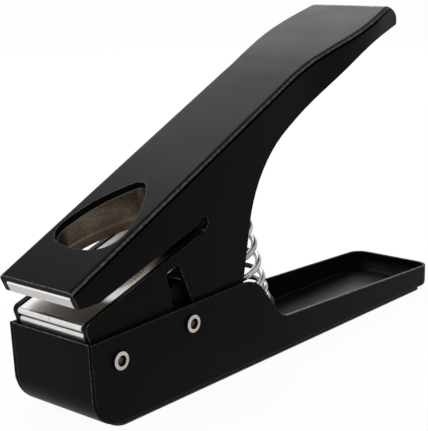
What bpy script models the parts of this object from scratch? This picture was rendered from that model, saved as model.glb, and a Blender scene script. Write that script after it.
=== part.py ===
"""Guitar pick punch: a sprung lever head on a folded steel base.

The card goes into the slot in the head's nose. Pressing the handle swings the
head down about its front pin. The rear pin, fixed in the base, then pushes the
pick-shaped punch up through its guide plates, the card and the die block.

Metres, +Z up. X runs across and Y from the nose to the tray. The origin lies on
the pad's underside, about half-way along the base. Outlines are drawn from the
side, as (y, z), with y from the base's front wall and z from the table.
"""

import math

import bmesh
import bpy
from mathutils import Matrix, Vector

# Clearances
GAP = 0.0003
OVERRUN = 0.0020
HEAD_SIDE_GAP = 0.0008
CARRIER_SIDE_GAP = 0.00095

# Facets: steps of arcs and folds, sides of round pieces, and what counts as a sharp edge
ARC_STEP_DEG = 15.0
SHARP_DEG = 30.0
FOLD_STEPS = 4
EYE_STEPS = 12
PIN_SIDES = 24
SMALL_SIDES = 16
MERGE_SHARE = 0.01

# Pick outline, which sets how wide the whole tool is
PICK_WIDTH = 0.0250
PICK_LENGTH = 0.0310
PICK_SHOULDER_RADIUS = 0.0078
PICK_TIP_RADIUS = 0.0030
PICK_CROWN_RADIUS = 0.0260
PICK_SIDE_RADIUS = 0.0400
PICK_FRONT = 0.0160
PICK_END = PICK_FRONT + PICK_LENGTH

# Die block that the pick is cut in
DIE_SIDE_WALL = 0.00115
DIE_REAR_WALL = 0.0050
DIE_ABOVE_CARD = 0.0029
DIE_LAND = 0.0030
DIE_LENGTH = PICK_END + DIE_REAR_WALL
CHUTE_MARGIN = 0.0005
CHUTE_TIP_EXTRA = 0.0012

# Head's sheet and width, from the pick outward
HEAD_SHEET = 0.0020
HEAD_FOLD = 0.0022
HEAD_INSIDE = PICK_WIDTH / 2 + DIE_SIDE_WALL + GAP
HEAD_WIDTH = (HEAD_INSIDE + HEAD_SHEET) * 2

# Base's sheet and width
BASE_WALL = 0.0010
BASE_FOLD = 0.0011
BASE_INSIDE = HEAD_WIDTH / 2 + HEAD_SIDE_GAP
BASE_WIDTH = (BASE_INSIDE + BASE_WALL) * 2

# Pins
PIVOT_Y = 0.0110
PIVOT_Z = 0.0209
DRIVE_Y = 0.0426
DRIVE_Z = 0.0235
PIN_RADIUS = 0.0021
PIN_FLANGE_RADIUS = 0.0029
PIN_FLANGE_THICK = 0.0009
SOCKET_FLATS = 0.0030
SOCKET_DEPTH = 0.0020
SCREW_SHOULDER = 0.0015
THREAD_RADIUS = 0.0012
THREAD_LENGTH = 0.0110
WASHER_RADIUS = 0.0042
SLEEVE_WALL = 0.0012
BUSH_WALL = 0.0006

# Base: a folded steel tub with high cheeks around the pins and a low tray behind
BASE_LENGTH = 0.1872
ORIGIN_Y = 0.0930
PIVOT_COVER = 0.0074
DRIVE_COVER = 0.0068
FRONT_HEIGHT = PIVOT_Z + PIVOT_COVER
FRONT_RAKE = 0.0012
FRONT_ROUND = 0.0105
CREST_HEIGHT = DRIVE_Z + DRIVE_COVER
CREST_Y = 0.0750
CREST_ROUND = 0.0140
TRAY_RUN = 0.0134
TRAY_Y = CREST_Y + TRAY_RUN
TRAY_HEIGHT = 0.0131
TRAY_ROUND = 0.0100
TRAY_END_HEIGHT = 0.0090
REAR_ROUND = 0.0060
REAR_PLAN_ROUND = 0.0060

# Pad under the base
PAD_THICK = 0.0007
PAD_INSET = 0.0006
PAD_FRONT_Y = 0.0100
PAD_REAR_MARGIN = 0.0066
PAD_ROUND = 0.0030

# Head's side outline: one folded channel that is both lever and jaws
NOSE_OVER_PIN = 0.0211
NOSE_Y = -0.0046
NOSE_Z = DRIVE_Z + NOSE_OVER_PIN
NOSE_DEPTH = 0.0060
TOP_ANGLE_DEG = 25.6
TOP_BEND_Y = 0.1093
TOP_BEND_ROUND = 0.1700
GRIP_ANGLE_DEG = 19.5
TIP_Y = 0.1625
TIP_ROUND = 0.0080
TIP_PLAN_ROUND = 0.0040
FLARE_EXTRA = 0.0036
FLARE_LENGTH = 0.0622
STATION_STEP = 0.0060
LIP_DEPTH = 0.0090
GRIP_LENGTH = 0.0257
GRIP_DEPTH = 0.0079
GRIP_UNDER_ROUND = 0.0400
HEEL_BEHIND_DRIVE = 0.0249
HEEL_Z = 0.0155
HEEL_ROUND = 0.0050
THROAT_RUN = 0.0103
THROAT_DEPTH = 0.0168
THROAT_ROUND = 0.0420
TOE_Z = 0.0135
TOE_ROUND = 0.0050
HEEL_Y = DRIVE_Y + HEEL_BEHIND_DRIVE
THROAT_Y = HEEL_Y + THROAT_RUN
GRIP_UNDER_Y = TIP_Y - GRIP_LENGTH

# Card slot, seen from the side
CARD_DROP = 0.01005
CARD_RISE = NOSE_Z - CARD_DROP
CARD_ANGLE_DEG = 18.2
SLOT_HEIGHT = 0.0026
SLOT_LENGTH = 0.0545
SLOT_RELIEF_RADIUS = 0.0022
SLOT_RELIEF_LIFT = 0.0017
JAW_FRONT = 0.0009
JAW_ROUND = 0.0019

# Notch in both walls of the head, for the drive pin
NOTCH_TOP = 0.0043
NOTCH_TOP_WIDTH = 0.0058
NOTCH_FOOT_WIDTH = 0.0104
NOTCH_ROUND = 0.0010
STROKE_DEG = 9.5

# Guide plates in the lower jaw, and their rivets
PLATE_BELOW_CARD = 0.0012
PLATE_THICK = 0.0018
PLATE_SPACE = 0.0012
PLATE_REAR_WALL = 0.0115
PLATE_LENGTH = PICK_END + PLATE_REAR_WALL
PLATE_MARK = 0.0010
PLATE_NOSE_SHARE = 0.499
RIVET_RADIUS = 0.0012
RIVET_HEAD_RADIUS = 0.0020
RIVET_HEAD_THICK = 0.0009
RIVET_FRONT_EDGE = 0.0025
RIVET_FRONT_MARGIN = 0.00535
RIVET_REAR_EDGE = 0.0115
RIVET_REAR_MARGIN = 0.00405

# Punch and its carrier
PUNCH_BELOW_PLATE = 0.0004
PUNCH_END_GAP = 0.0005
CARRIER_SHEET = 0.0020
CARRIER_WIDTH = (HEAD_INSIDE - CARRIER_SIDE_GAP) * 2
CARRIER_FRONT_INSET = 0.0030
CARRIER_REAR_INSET = 0.0040
CARRIER_FRONT = PICK_FRONT + CARRIER_FRONT_INSET
CARRIER_REAR = PICK_END - CARRIER_REAR_INSET
CARRIER_EYE_RADIUS = 0.0046
CARRIER_FOLD = 0.0010
CARRIER_LOBE_SHARE = 0.9
CAP_HEAD_RADIUS = 0.0025
CAP_HEAD_THICK = 0.0018
CAP_SHANK_RADIUS = 0.0014
CAP_BITE = 0.0050
CAP_FRONT_INSET = 0.0075
CAP_SPACING = 0.0130

# Return spring and its seats
SPRING_LEAN_DEG = 20.5
SPRING_BEHIND_HEEL = 0.0251
SPRING_FOOT_Y = HEEL_Y + SPRING_BEHIND_HEEL
SPRING_FOOT_Z = 0.0128
SPRING_RADIUS = 0.0085
SPRING_WIRE = 0.0020
SPRING_PITCH = 0.0054
SPRING_END_GAP = 0.0006
SPRING_END_TURNS = 1.0
TURN_POINTS = 10
SEAT_RIM = 0.00095
SEAT_RADIUS = SPRING_RADIUS + SPRING_WIRE / 2 + SEAT_RIM
SEAT_BOSS_GAP = 0.00125
SEAT_BOSS_RADIUS = SPRING_RADIUS - SPRING_WIRE / 2 - SEAT_BOSS_GAP
SEAT_BOSS_HEIGHT = 0.0035
SEAT_FLANGE = 0.0015

CARD_ANGLE = math.radians(CARD_ANGLE_DEG)
TOP_ANGLE = math.radians(TOP_ANGLE_DEG)
GRIP_ANGLE = math.radians(GRIP_ANGLE_DEG)
SPRING_LEAN = math.radians(SPRING_LEAN_DEG)

CARD_ALONG = Vector((math.cos(CARD_ANGLE), math.sin(CARD_ANGLE)))
CARD_UP = Vector((-math.sin(CARD_ANGLE), math.cos(CARD_ANGLE)))
TOP_ALONG = Vector((math.cos(TOP_ANGLE), math.sin(TOP_ANGLE)))
TOP_UP = Vector((-math.sin(TOP_ANGLE), math.cos(TOP_ANGLE)))
SPRING_UP = Vector((-math.sin(SPRING_LEAN), math.cos(SPRING_LEAN)))

FLOOR_UNDER = PAD_THICK + GAP
FLOOR_TOP = FLOOR_UNDER + BASE_WALL
CUT_REACH = BASE_WIDTH * 2
PIVOT = Vector((PIVOT_Y, PIVOT_Z))
DRIVE = Vector((DRIVE_Y, DRIVE_Z))
NOSE = Vector((NOSE_Y, NOSE_Z))
CARD_ZERO = Vector((0, CARD_RISE))


# Side-view geometry
def card_point(along, up):
    """Place measured along the slot's lower edge and square to it."""
    return CARD_ZERO + CARD_ALONG * along + CARD_UP * up


def card_place(point):
    """The same two measures, read back from a place."""
    offset = Vector(point) - CARD_ZERO
    return offset.dot(CARD_ALONG), offset.dot(CARD_UP)


def top_point(along, down):
    """Place measured along the head's straight top from the nose, and square below it."""
    return NOSE + TOP_ALONG * along - TOP_UP * down


def crossing(start, direction, other, other_direction):
    """Where two lines meet."""
    det = direction.x * other_direction.y - direction.y * other_direction.x
    gap = other - start
    reach = (gap.x * other_direction.y - gap.y * other_direction.x) / det
    return start + direction * reach


def filleted(corners, closed):
    """Polyline through corners given as (point, radius), with an arc at each radius."""
    out = []
    count = len(corners)
    for index, (corner, radius) in enumerate(corners):
        corner = Vector(corner)
        at_end = not closed and index in (0, count - 1)
        if at_end or radius == 0:
            out.append(corner)
            continue
        before = (Vector(corners[index - 1][0]) - corner).normalized()
        after = (Vector(corners[(index + 1) % count][0]) - corner).normalized()
        opening = before.angle(after)
        centre = corner + (before + after).normalized() * (radius / math.sin(opening / 2))
        first = corner + before * (radius / math.tan(opening / 2)) - centre
        last = corner + after * (radius / math.tan(opening / 2)) - centre
        sweep = first.angle_signed(last)
        steps = max(2, math.ceil(abs(math.degrees(sweep)) / ARC_STEP_DEG))
        for step in range(steps + 1):
            turn = -sweep * step / steps
            out.append(centre + Matrix.Rotation(turn, 2) @ first)
    return out


def offset_corners(corners, inset):
    """Corners of an open path moved sideways, to the right of its run, radii kept concentric."""
    lines = []
    for (start, _), (end, _) in zip(corners, corners[1:]):
        run = (Vector(end) - Vector(start)).normalized()
        aside = Vector((run.y, -run.x)) * inset
        lines.append((Vector(start) + aside, run, Vector(end) + aside))
    out = [(lines[0][0], 0)]
    for (start, run, _), (other, other_run, _), (_, radius) in zip(lines, lines[1:], corners[1:]):
        turns_right = run.x * other_run.y - run.y * other_run.x < 0
        kept = radius - inset if turns_right else radius + inset
        out.append((crossing(start, run, other, other_run), kept))
    out.append((lines[-1][2], 0))
    return out


def stations(path, step):
    """The same path with its long stretches divided."""
    out = [path[0]]
    for end in path[1:]:
        start = out[-1]
        parts = max(1, math.ceil((end - start).length / step))
        out.extend(start.lerp(end, part / parts) for part in range(1, parts + 1))
    return out


def pick_outline(margin, tip_extra=0):
    """Rounded triangle of a pick as (x, along), built of arcs that run into each other."""
    half = PICK_WIDTH / 2
    shoulder_x = half - PICK_SHOULDER_RADIUS
    crown_reach = PICK_CROWN_RADIUS - PICK_SHOULDER_RADIUS
    crown_y = PICK_FRONT + PICK_CROWN_RADIUS
    shoulder = Vector((shoulder_x, crown_y - math.sqrt(crown_reach ** 2 - shoulder_x ** 2)))
    tip = Vector((0, PICK_FRONT + PICK_LENGTH - PICK_TIP_RADIUS + tip_extra))
    near = PICK_SIDE_RADIUS - PICK_SHOULDER_RADIUS
    far = PICK_SIDE_RADIUS - PICK_TIP_RADIUS
    span = tip - shoulder
    along = (span.length ** 2 + near ** 2 - far ** 2) / (2 * span.length)
    aside = math.sqrt(near ** 2 - along ** 2)
    run = span.normalized()
    side = shoulder + run * along - Vector((run.y, -run.x)) * aside
    crown = Vector((0, crown_y))
    points = []

    def arc(centre, radius, start, end):
        sweep = math.degrees(end - start)
        steps = max(2, math.ceil(abs(sweep) / ARC_STEP_DEG))
        for index in range(steps):
            angle = start + (end - start) * index / steps
            points.append(centre + Vector((math.cos(angle), math.sin(angle))) * (radius + margin))

    def heading(origin, target):
        offset = target - origin
        return math.atan2(offset.y, offset.x)

    right_crown = heading(crown, shoulder)
    right_side = heading(side, shoulder)
    right_tip = heading(side, tip)
    arc(crown, PICK_CROWN_RADIUS, -math.pi / 2, right_crown)
    arc(shoulder, PICK_SHOULDER_RADIUS, right_crown, right_side)
    arc(side, PICK_SIDE_RADIUS, right_side, right_tip)
    arc(tip, PICK_TIP_RADIUS, right_tip, math.pi / 2)
    mirrored = [Vector((-point.x, point.y)) for point in reversed(points[1:])]
    top = tip + Vector((0, PICK_TIP_RADIUS + margin))
    return points + [top] + mirrored


# Blender helpers
def object_from(name, bm):
    """Object of a finished bmesh, with its faces turned outward."""
    bmesh.ops.recalc_face_normals(bm, faces=bm.faces)
    mesh = bpy.data.meshes.new(name)
    bm.to_mesh(mesh)
    bm.free()
    mesh.shade_smooth()
    mesh.set_sharp_from_angle(angle=math.radians(SHARP_DEG))
    obj = bpy.data.objects.new(name, mesh)
    bpy.context.collection.objects.link(obj)
    return obj


def extruded(name, ring, reach):
    """Solid from a ring of 3-D points pushed along a vector."""
    bm = bmesh.new()
    face = bm.faces.new([bm.verts.new(point) for point in ring])
    pushed = bmesh.ops.extrude_face_region(bm, geom=[face])
    moved = [item for item in pushed["geom"] if isinstance(item, bmesh.types.BMVert)]
    bmesh.ops.translate(bm, vec=reach, verts=moved)
    return object_from(name, bm)


def world(x, point):
    """World place of a side-view point at x."""
    return Vector((x, point[0] - ORIGIN_Y, point[1]))


def side_prism(name, outline, low_x, high_x):
    """Side-view outline as a solid across X."""
    ring = [world(low_x, point) for point in outline]
    return extruded(name, ring, Vector((high_x - low_x, 0, 0)))


def card_prism(name, outline, low, high):
    """Outline as (x, along) on the card plane, as a solid between two heights square to it."""
    ring = [world(point[0], card_point(point[1], low)) for point in outline]
    rise = CARD_UP * (high - low)
    return extruded(name, ring, Vector((0, rise.x, rise.y)))


def channel_solid(name, path, half_width, far_z, fold):
    """Loft of upright sections: each has its crown on the path and straight legs to far_z."""
    bm = bmesh.new()
    rings = []
    for point in path:
        half = half_width(point.x)
        down = 1 if far_z < point.y else -1
        quarter = []
        for step in range(FOLD_STEPS + 1):
            angle = math.pi / 2 * step / FOLD_STEPS
            x = half - fold + fold * math.cos(angle)
            z = point.y - down * (fold - fold * math.sin(angle))
            quarter.append((x, z))
        section = [(half, far_z)] + quarter
        section += [(-x, z) for x, z in reversed(section)]
        rings.append([bm.verts.new(world(x, (point.x, z))) for x, z in section])
    for ring, following in zip(rings, rings[1:]):
        for index, vert in enumerate(ring):
            after = (index + 1) % len(ring)
            bm.faces.new((vert, ring[after], following[after], following[index]))
    bm.faces.new(rings[0])
    bm.faces.new(rings[-1])
    return object_from(name, bm)


def turned(name, profile, steps=PIN_SIDES):
    """Solid of revolution about X from a closed (x, radius) profile."""
    bm = bmesh.new()
    verts = [bm.verts.new((x, 0, radius)) for x, radius in profile]
    edges = []
    for first, second in zip(verts, verts[1:] + verts[:1]):
        if first.co.z > 0 or second.co.z > 0:
            edges.append(bm.edges.new((first, second)))
    bmesh.ops.spin(
        bm,
        geom=verts + edges,
        cent=(0, 0, 0),
        axis=(1, 0, 0),
        angle=math.tau,
        steps=steps,
        use_merge=True,
    )
    bmesh.ops.remove_doubles(bm, verts=bm.verts, dist=GAP * MERGE_SHARE)
    return object_from(name, bm)


def as_cutter(obj):
    """Marks an object as a cutter that isn't part of the product."""
    obj.hide_render = True
    obj.display_type = "WIRE"
    return obj


def combine(obj, other, operation="DIFFERENCE"):
    """Boolean with another object, which becomes a cutter."""
    modifier = obj.modifiers.new(other.name, "BOOLEAN")
    modifier.operation = operation
    modifier.solver = "EXACT"
    modifier.object = as_cutter(other)
    return obj


def rod(name, low_x, high_x, radius, steps=PIN_SIDES):
    """Plain round rod along X."""
    return turned(name, [(low_x, 0), (low_x, radius), (high_x, radius), (high_x, 0)], steps)


def bore(obj, name, point, radius):
    """Round hole right across, at a side-view point."""
    cutter = rod(name, -BASE_WIDTH, BASE_WIDTH, radius)
    cutter.location = world(0, point)
    return combine(obj, cutter)


def material(name, colour, roughness, metallic):
    """Plain Principled material."""
    made = bpy.data.materials.new(name)
    made.use_nodes = True
    shader = made.node_tree.nodes["Principled BSDF"]
    shader.inputs["Base Color"].default_value = (*colour, 1)
    shader.inputs["Roughness"].default_value = roughness
    shader.inputs["Metallic"].default_value = metallic
    return made


def finish(obj, look, carrier=None):
    """Gives a piece its own copy of a material, and hangs it on its moving axis."""
    obj.data.materials.clear()
    own = look.copy()
    own.name = obj.name + "_finish"
    obj.data.materials.append(own)
    if carrier is not None:
        obj.parent = carrier
        obj.matrix_parent_inverse = carrier.matrix_world.inverted()
    return obj


def axis_empty(name, x, point, parent=None):
    """Empty on a joint's axis."""
    empty = bpy.data.objects.new(name, None)
    empty.empty_display_size = PIN_FLANGE_RADIUS
    empty.location = world(x, point)
    bpy.context.collection.objects.link(empty)
    bpy.context.view_layer.update()
    if parent is not None:
        empty.parent = parent
        empty.matrix_parent_inverse = parent.matrix_world.inverted()
        bpy.context.view_layer.update()
    return empty


# Base
def base_half_width(inset):
    """Half width of the tub at a place, rounded in plan at the rear."""
    radius = REAR_PLAN_ROUND - inset
    turn_y = BASE_LENGTH - inset - radius

    def half(y):
        straight = BASE_WIDTH / 2 - inset
        past = min(radius, max(0, y - turn_y))
        return straight - radius + math.sqrt(max(0, radius ** 2 - past ** 2))

    return half


def build_base_tub():
    """Folded tub with its rim line, pin holes and rounded nose and tail."""
    rake = Vector((FRONT_RAKE, FLOOR_UNDER - FRONT_HEIGHT)).normalized()
    start = Vector((0, FRONT_HEIGHT)) - rake * (CREST_HEIGHT - FRONT_HEIGHT + OVERRUN)
    corners = [
        (start, 0),
        (Vector((FRONT_RAKE, FLOOR_UNDER)), FRONT_ROUND),
        (Vector((BASE_LENGTH, FLOOR_UNDER)), REAR_ROUND),
        (Vector((BASE_LENGTH, CREST_HEIGHT)), 0),
    ]
    outer = filleted(corners, False)[:-1]
    # The tub's inside lies to the left of the path, so the inset is negative
    inner = filleted(offset_corners(corners, -BASE_WALL), False)[:-1]
    high = CREST_HEIGHT * 2
    tub = channel_solid("base_tub", outer, base_half_width(0), high, BASE_FOLD)
    room = channel_solid(
        "base_room", inner, base_half_width(BASE_WALL), high + OVERRUN, BASE_FOLD / 2
    )
    combine(tub, room)
    rim_end = Vector((BASE_LENGTH + OVERRUN, TRAY_END_HEIGHT))
    rim = [
        (Vector((-OVERRUN, FRONT_HEIGHT)), 0),
        (Vector((CREST_Y, CREST_HEIGHT)), CREST_ROUND),
        (Vector((TRAY_Y, TRAY_HEIGHT)), TRAY_ROUND),
        (rim_end, 0),
        (Vector((BASE_LENGTH + OVERRUN, -OVERRUN)), 0),
        (Vector((-OVERRUN, -OVERRUN)), 0),
    ]
    trim = side_prism("base_rim_line", filleted(rim, True), -BASE_WIDTH, BASE_WIDTH)
    combine(tub, trim, "INTERSECT")
    bore(tub, "base_pivot_hole", PIVOT, PIN_RADIUS + GAP)
    bore(tub, "base_drive_hole", DRIVE, PIN_RADIUS + GAP)
    return tub


def build_base_pad():
    """Thin pad on the tub's flat underside."""
    half = BASE_WIDTH / 2 - PAD_INSET
    rear = BASE_LENGTH - PAD_REAR_MARGIN
    plan = [
        (Vector((-half, PAD_FRONT_Y)), PAD_ROUND),
        (Vector((half, PAD_FRONT_Y)), PAD_ROUND),
        (Vector((half, rear)), PAD_ROUND),
        (Vector((-half, rear)), PAD_ROUND),
    ]
    ring = [world(point.x, (point.y, 0)) for point in filleted(plan, True)]
    return extruded("base_pad", ring, Vector((0, 0, PAD_THICK)))


# Head
def top_corners():
    """Corners of the head's top line, from ahead of the nose to the curled tip."""
    grip = Vector((math.cos(GRIP_ANGLE), math.sin(GRIP_ANGLE)))
    start = top_point(-NOSE_DEPTH, 0)
    bend = crossing(NOSE, TOP_ALONG, Vector((TOP_BEND_Y, 0)), Vector((0, 1)))
    tip = crossing(bend, grip, Vector((TIP_Y, 0)), Vector((0, 1)))
    return [
        (start, 0),
        (bend, TOP_BEND_ROUND),
        (tip, TIP_ROUND),
        (tip - Vector((0, TIP_ROUND * 2)), 0),
    ]


def below_top(y, depth):
    """Place at a given depth straight below the head's unrounded top line."""
    _, bend, tip, _ = [Vector(corner) for corner, _ in top_corners()]
    start = NOSE if y < bend.x else tip
    share = (y - start.x) / (bend.x - start.x)
    return start.lerp(bend, share) - Vector((0, depth))


def head_half_width(inset):
    """Half width of the head at a place: parallel, then flared for the hand, rounded at the tip."""
    radius = TIP_PLAN_ROUND - inset
    turn_y = TIP_Y - inset - radius

    def half(y):
        part = min(1, max(0, 1 - (TIP_Y - y) / FLARE_LENGTH))
        straight = HEAD_WIDTH / 2 + FLARE_EXTRA * math.sin(math.pi * part) ** 2 - inset
        past = min(radius, max(0, y - turn_y))
        return straight - radius + math.sqrt(max(0, radius ** 2 - past ** 2))

    return half


def head_outline():
    """Side outline of the head's walls, with the card slot open to the front."""
    jaw_top = card_point(JAW_FRONT, 0)
    toe = crossing(jaw_top, CARD_UP, Vector((0, TOE_Z)), Vector((1, 0)))
    nose_foot = top_point(0, NOSE_DEPTH)
    slot_top = card_point(0, SLOT_HEIGHT)
    kink = crossing(nose_foot, Vector((1, 0)), slot_top, CARD_ALONG)
    above = top_point(0, -NOSE_DEPTH)
    tip = top_corners()[2][0]
    return filleted(
        [
            (above, 0),
            (tip + Vector((OVERRUN, NOSE_Z)), 0),
            (below_top(TIP_Y, LIP_DEPTH) + Vector((OVERRUN, 0)), 0),
            (below_top(GRIP_UNDER_Y, GRIP_DEPTH), GRIP_UNDER_ROUND),
            (below_top(THROAT_Y, THROAT_DEPTH), THROAT_ROUND),
            (Vector((HEEL_Y, HEEL_Z)), HEEL_ROUND),
            (toe, TOE_ROUND),
            (jaw_top, JAW_ROUND),
            (card_point(SLOT_LENGTH, 0), 0),
            (card_point(SLOT_LENGTH, SLOT_HEIGHT), 0),
            (kink, 0),
            (nose_foot, 0),
        ],
        True,
    )


def build_head_shell():
    """Folded channel: lever, upper jaw and lower jaw in one sheet."""
    corners = top_corners()
    outer = stations(filleted(corners, False)[:-1], STATION_STEP)
    inside = offset_corners(corners, HEAD_SHEET)
    inside[0] = (inside[0][0] - TOP_ALONG * OVERRUN, 0)
    inner = stations(filleted(inside, False)[:-1], STATION_STEP)
    shell = channel_solid("head_shell", outer, head_half_width(0), -OVERRUN, HEAD_FOLD)
    room = channel_solid(
        "head_room", inner, head_half_width(HEAD_SHEET), -OVERRUN * 2, HEAD_FOLD - HEAD_SHEET
    )
    combine(shell, room)
    trim = side_prism("head_side_line", head_outline(), -BASE_WIDTH, BASE_WIDTH)
    combine(shell, trim, "INTERSECT")
    window = card_prism(
        "window_cut", pick_outline(CHUTE_MARGIN, CHUTE_TIP_EXTRA), DIE_ABOVE_CARD, CUT_REACH
    )
    combine(shell, window)
    combine(shell, build_notch_cutter())
    relief = card_point(SLOT_LENGTH, SLOT_RELIEF_LIFT)
    bore(shell, "slot_relief", relief, SLOT_RELIEF_RADIUS)
    bore(shell, "head_pivot_hole", PIVOT, PIN_RADIUS + GAP)
    return shell


def build_notch_cutter():
    """Tapered notch that the drive pin travels in; its foot is the head's rest stop."""
    along, up = card_place(DRIVE)
    foot = up - PIN_RADIUS - BUSH_WALL - GAP * 2
    top = -NOTCH_TOP
    outline = filleted(
        [
            (card_point(along - NOTCH_TOP_WIDTH / 2, top), NOTCH_ROUND),
            (card_point(along + NOTCH_TOP_WIDTH / 2, top), NOTCH_ROUND),
            (card_point(along + NOTCH_FOOT_WIDTH / 2, foot), NOTCH_ROUND),
            (card_point(along - NOTCH_FOOT_WIDTH / 2, foot), NOTCH_ROUND),
        ],
        True,
    )
    return side_prism("notch_cut", outline, -BASE_WIDTH, BASE_WIDTH)


# Die block and guide plates
def build_die_block():
    """Wedge between the card slot and the top sheet, with the pick-shaped hole right through."""
    half = HEAD_INSIDE - GAP
    nose_top = top_point(0, HEAD_SHEET + GAP)
    nose_foot = top_point(0, NOSE_DEPTH)
    under = card_point(0, DIE_ABOVE_CARD)
    kink = crossing(nose_foot, Vector((1, 0)), under, CARD_ALONG)
    rear_foot = card_point(DIE_LENGTH, DIE_ABOVE_CARD)
    rear_top = crossing(rear_foot, CARD_UP, nose_top, TOP_ALONG)
    outline = [nose_top, rear_top, rear_foot, kink, nose_foot]
    block = side_prism("die_block", outline, -half, half)
    land = card_prism("die_land_cut", pick_outline(0), -OVERRUN, CUT_REACH)
    combine(block, land)
    chute = card_prism(
        "die_chute_cut",
        pick_outline(CHUTE_MARGIN, CHUTE_TIP_EXTRA),
        DIE_ABOVE_CARD + DIE_LAND,
        CUT_REACH,
    )
    return combine(block, chute)


def plate_solid(name, high, marked):
    """One guide plate with a rounded front; the upper one has a centre mark."""
    half = HEAD_INSIDE - GAP
    low = high - PLATE_THICK
    nose = PLATE_THICK * PLATE_NOSE_SHARE
    outline = filleted(
        [
            (card_point(JAW_FRONT, high), nose),
            (card_point(PLATE_LENGTH, high), 0),
            (card_point(PLATE_LENGTH, low), 0),
            (card_point(JAW_FRONT, low), nose),
        ],
        True,
    )
    plate = side_prism(name, outline, -half, half)
    hole = card_prism(name + "_hole", pick_outline(0), low - OVERRUN, high + OVERRUN)
    combine(plate, hole)
    reach = PLATE_THICK + OVERRUN
    for index, (place, spread) in enumerate(rivet_places()):
        cut_name = name + "_rivet_hole_" + str(index)
        cutter = rod(cut_name, -reach, reach, RIVET_RADIUS + GAP, SMALL_SIDES)
        stand_on_card(cutter, spread, place, high)
        combine(plate, cutter)
    if marked:
        mark = card_prism(
            name + "_mark",
            [
                Vector((-PLATE_MARK / 2, JAW_FRONT - OVERRUN)),
                Vector((PLATE_MARK / 2, JAW_FRONT - OVERRUN)),
                Vector((0, JAW_FRONT + PLATE_MARK)),
            ],
            low - OVERRUN,
            high + OVERRUN,
        )
        combine(plate, mark)
    return plate


def rivet_places():
    """Places of the four plate rivets, as (along, x)."""
    front = JAW_FRONT + RIVET_FRONT_EDGE
    rear = PLATE_LENGTH - RIVET_REAR_EDGE
    front_spread = HEAD_INSIDE - RIVET_FRONT_MARGIN
    rear_spread = HEAD_INSIDE - RIVET_REAR_MARGIN
    return [
        (front, -front_spread),
        (front, front_spread),
        (rear, -rear_spread),
        (rear, rear_spread),
    ]


def stand_on_card(obj, x, along, up):
    """Turns a piece made about X so that its axis is square to the card, at a place on it."""
    rise = Vector((0, CARD_UP.x, CARD_UP.y))
    obj.rotation_mode = "QUATERNION"
    obj.rotation_quaternion = Vector((1, 0, 0)).rotation_difference(rise)
    obj.location = world(x, card_point(along, up))


def build_guide_rivets():
    """Four shouldered rivets that hold the guide plates apart and together."""
    top = -PLATE_BELOW_CARD - GAP / 2
    step_high = -PLATE_BELOW_CARD - PLATE_THICK - GAP
    step_low = step_high - PLATE_SPACE + GAP * 2
    under = -PLATE_BELOW_CARD - PLATE_THICK * 2 - PLATE_SPACE - GAP
    foot = under - RIVET_HEAD_THICK
    profile = [
        (top, 0),
        (top, RIVET_RADIUS),
        (step_high, RIVET_RADIUS),
        (step_high, RIVET_HEAD_RADIUS),
        (step_low, RIVET_HEAD_RADIUS),
        (step_low, RIVET_RADIUS),
        (under, RIVET_RADIUS),
        (under, RIVET_HEAD_RADIUS),
        (foot, RIVET_HEAD_RADIUS),
        (foot, 0),
    ]
    rivets = []
    for index, (place, x) in enumerate(rivet_places()):
        rivet = turned("guide_rivet_" + str(index + 1), profile, SMALL_SIDES)
        stand_on_card(rivet, x, place, 0)
        rivets.append(rivet)
    return rivets


# Punch and carrier
def drive_travel():
    """How far the drive pin moves in the head over a full stroke, along the card and square to it."""
    arm = DRIVE - PIVOT
    turn = Matrix.Rotation(math.radians(STROKE_DEG), 2)
    moved = turn @ arm - arm
    return moved.dot(CARD_ALONG), moved.dot(CARD_UP)


def punch_heights():
    """Top and foot of the punch, long enough to keep its carrier off the lower plate."""
    high = -PLATE_BELOW_CARD - PUNCH_BELOW_PLATE
    plates_foot = -PLATE_BELOW_CARD - PLATE_THICK * 2 - PLATE_SPACE
    return high, plates_foot - drive_travel()[1] - PUNCH_END_GAP


def build_pick_punch():
    """Pick-shaped punch, waiting just below the upper guide plate's face."""
    high, low = punch_heights()
    punch = card_prism("pick_punch", pick_outline(-GAP), low, high)
    radius = CAP_SHANK_RADIUS + GAP
    for index, place in enumerate(cap_places()):
        cut_name = "punch_tapping_" + str(index)
        hole = rod(cut_name, -OVERRUN, CAP_BITE + GAP, radius, SMALL_SIDES)
        stand_on_card(hole, 0, place, low)
        combine(punch, hole)
    return punch


def cap_places():
    """Places along the card of the two screws under the punch."""
    front = PICK_FRONT + CAP_FRONT_INSET
    return [front, front + CAP_SPACING]


def carrier_heights():
    """Top and underside of the carrier's bridge."""
    high = punch_heights()[1] - GAP
    return high, high - CARRIER_SHEET


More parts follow.
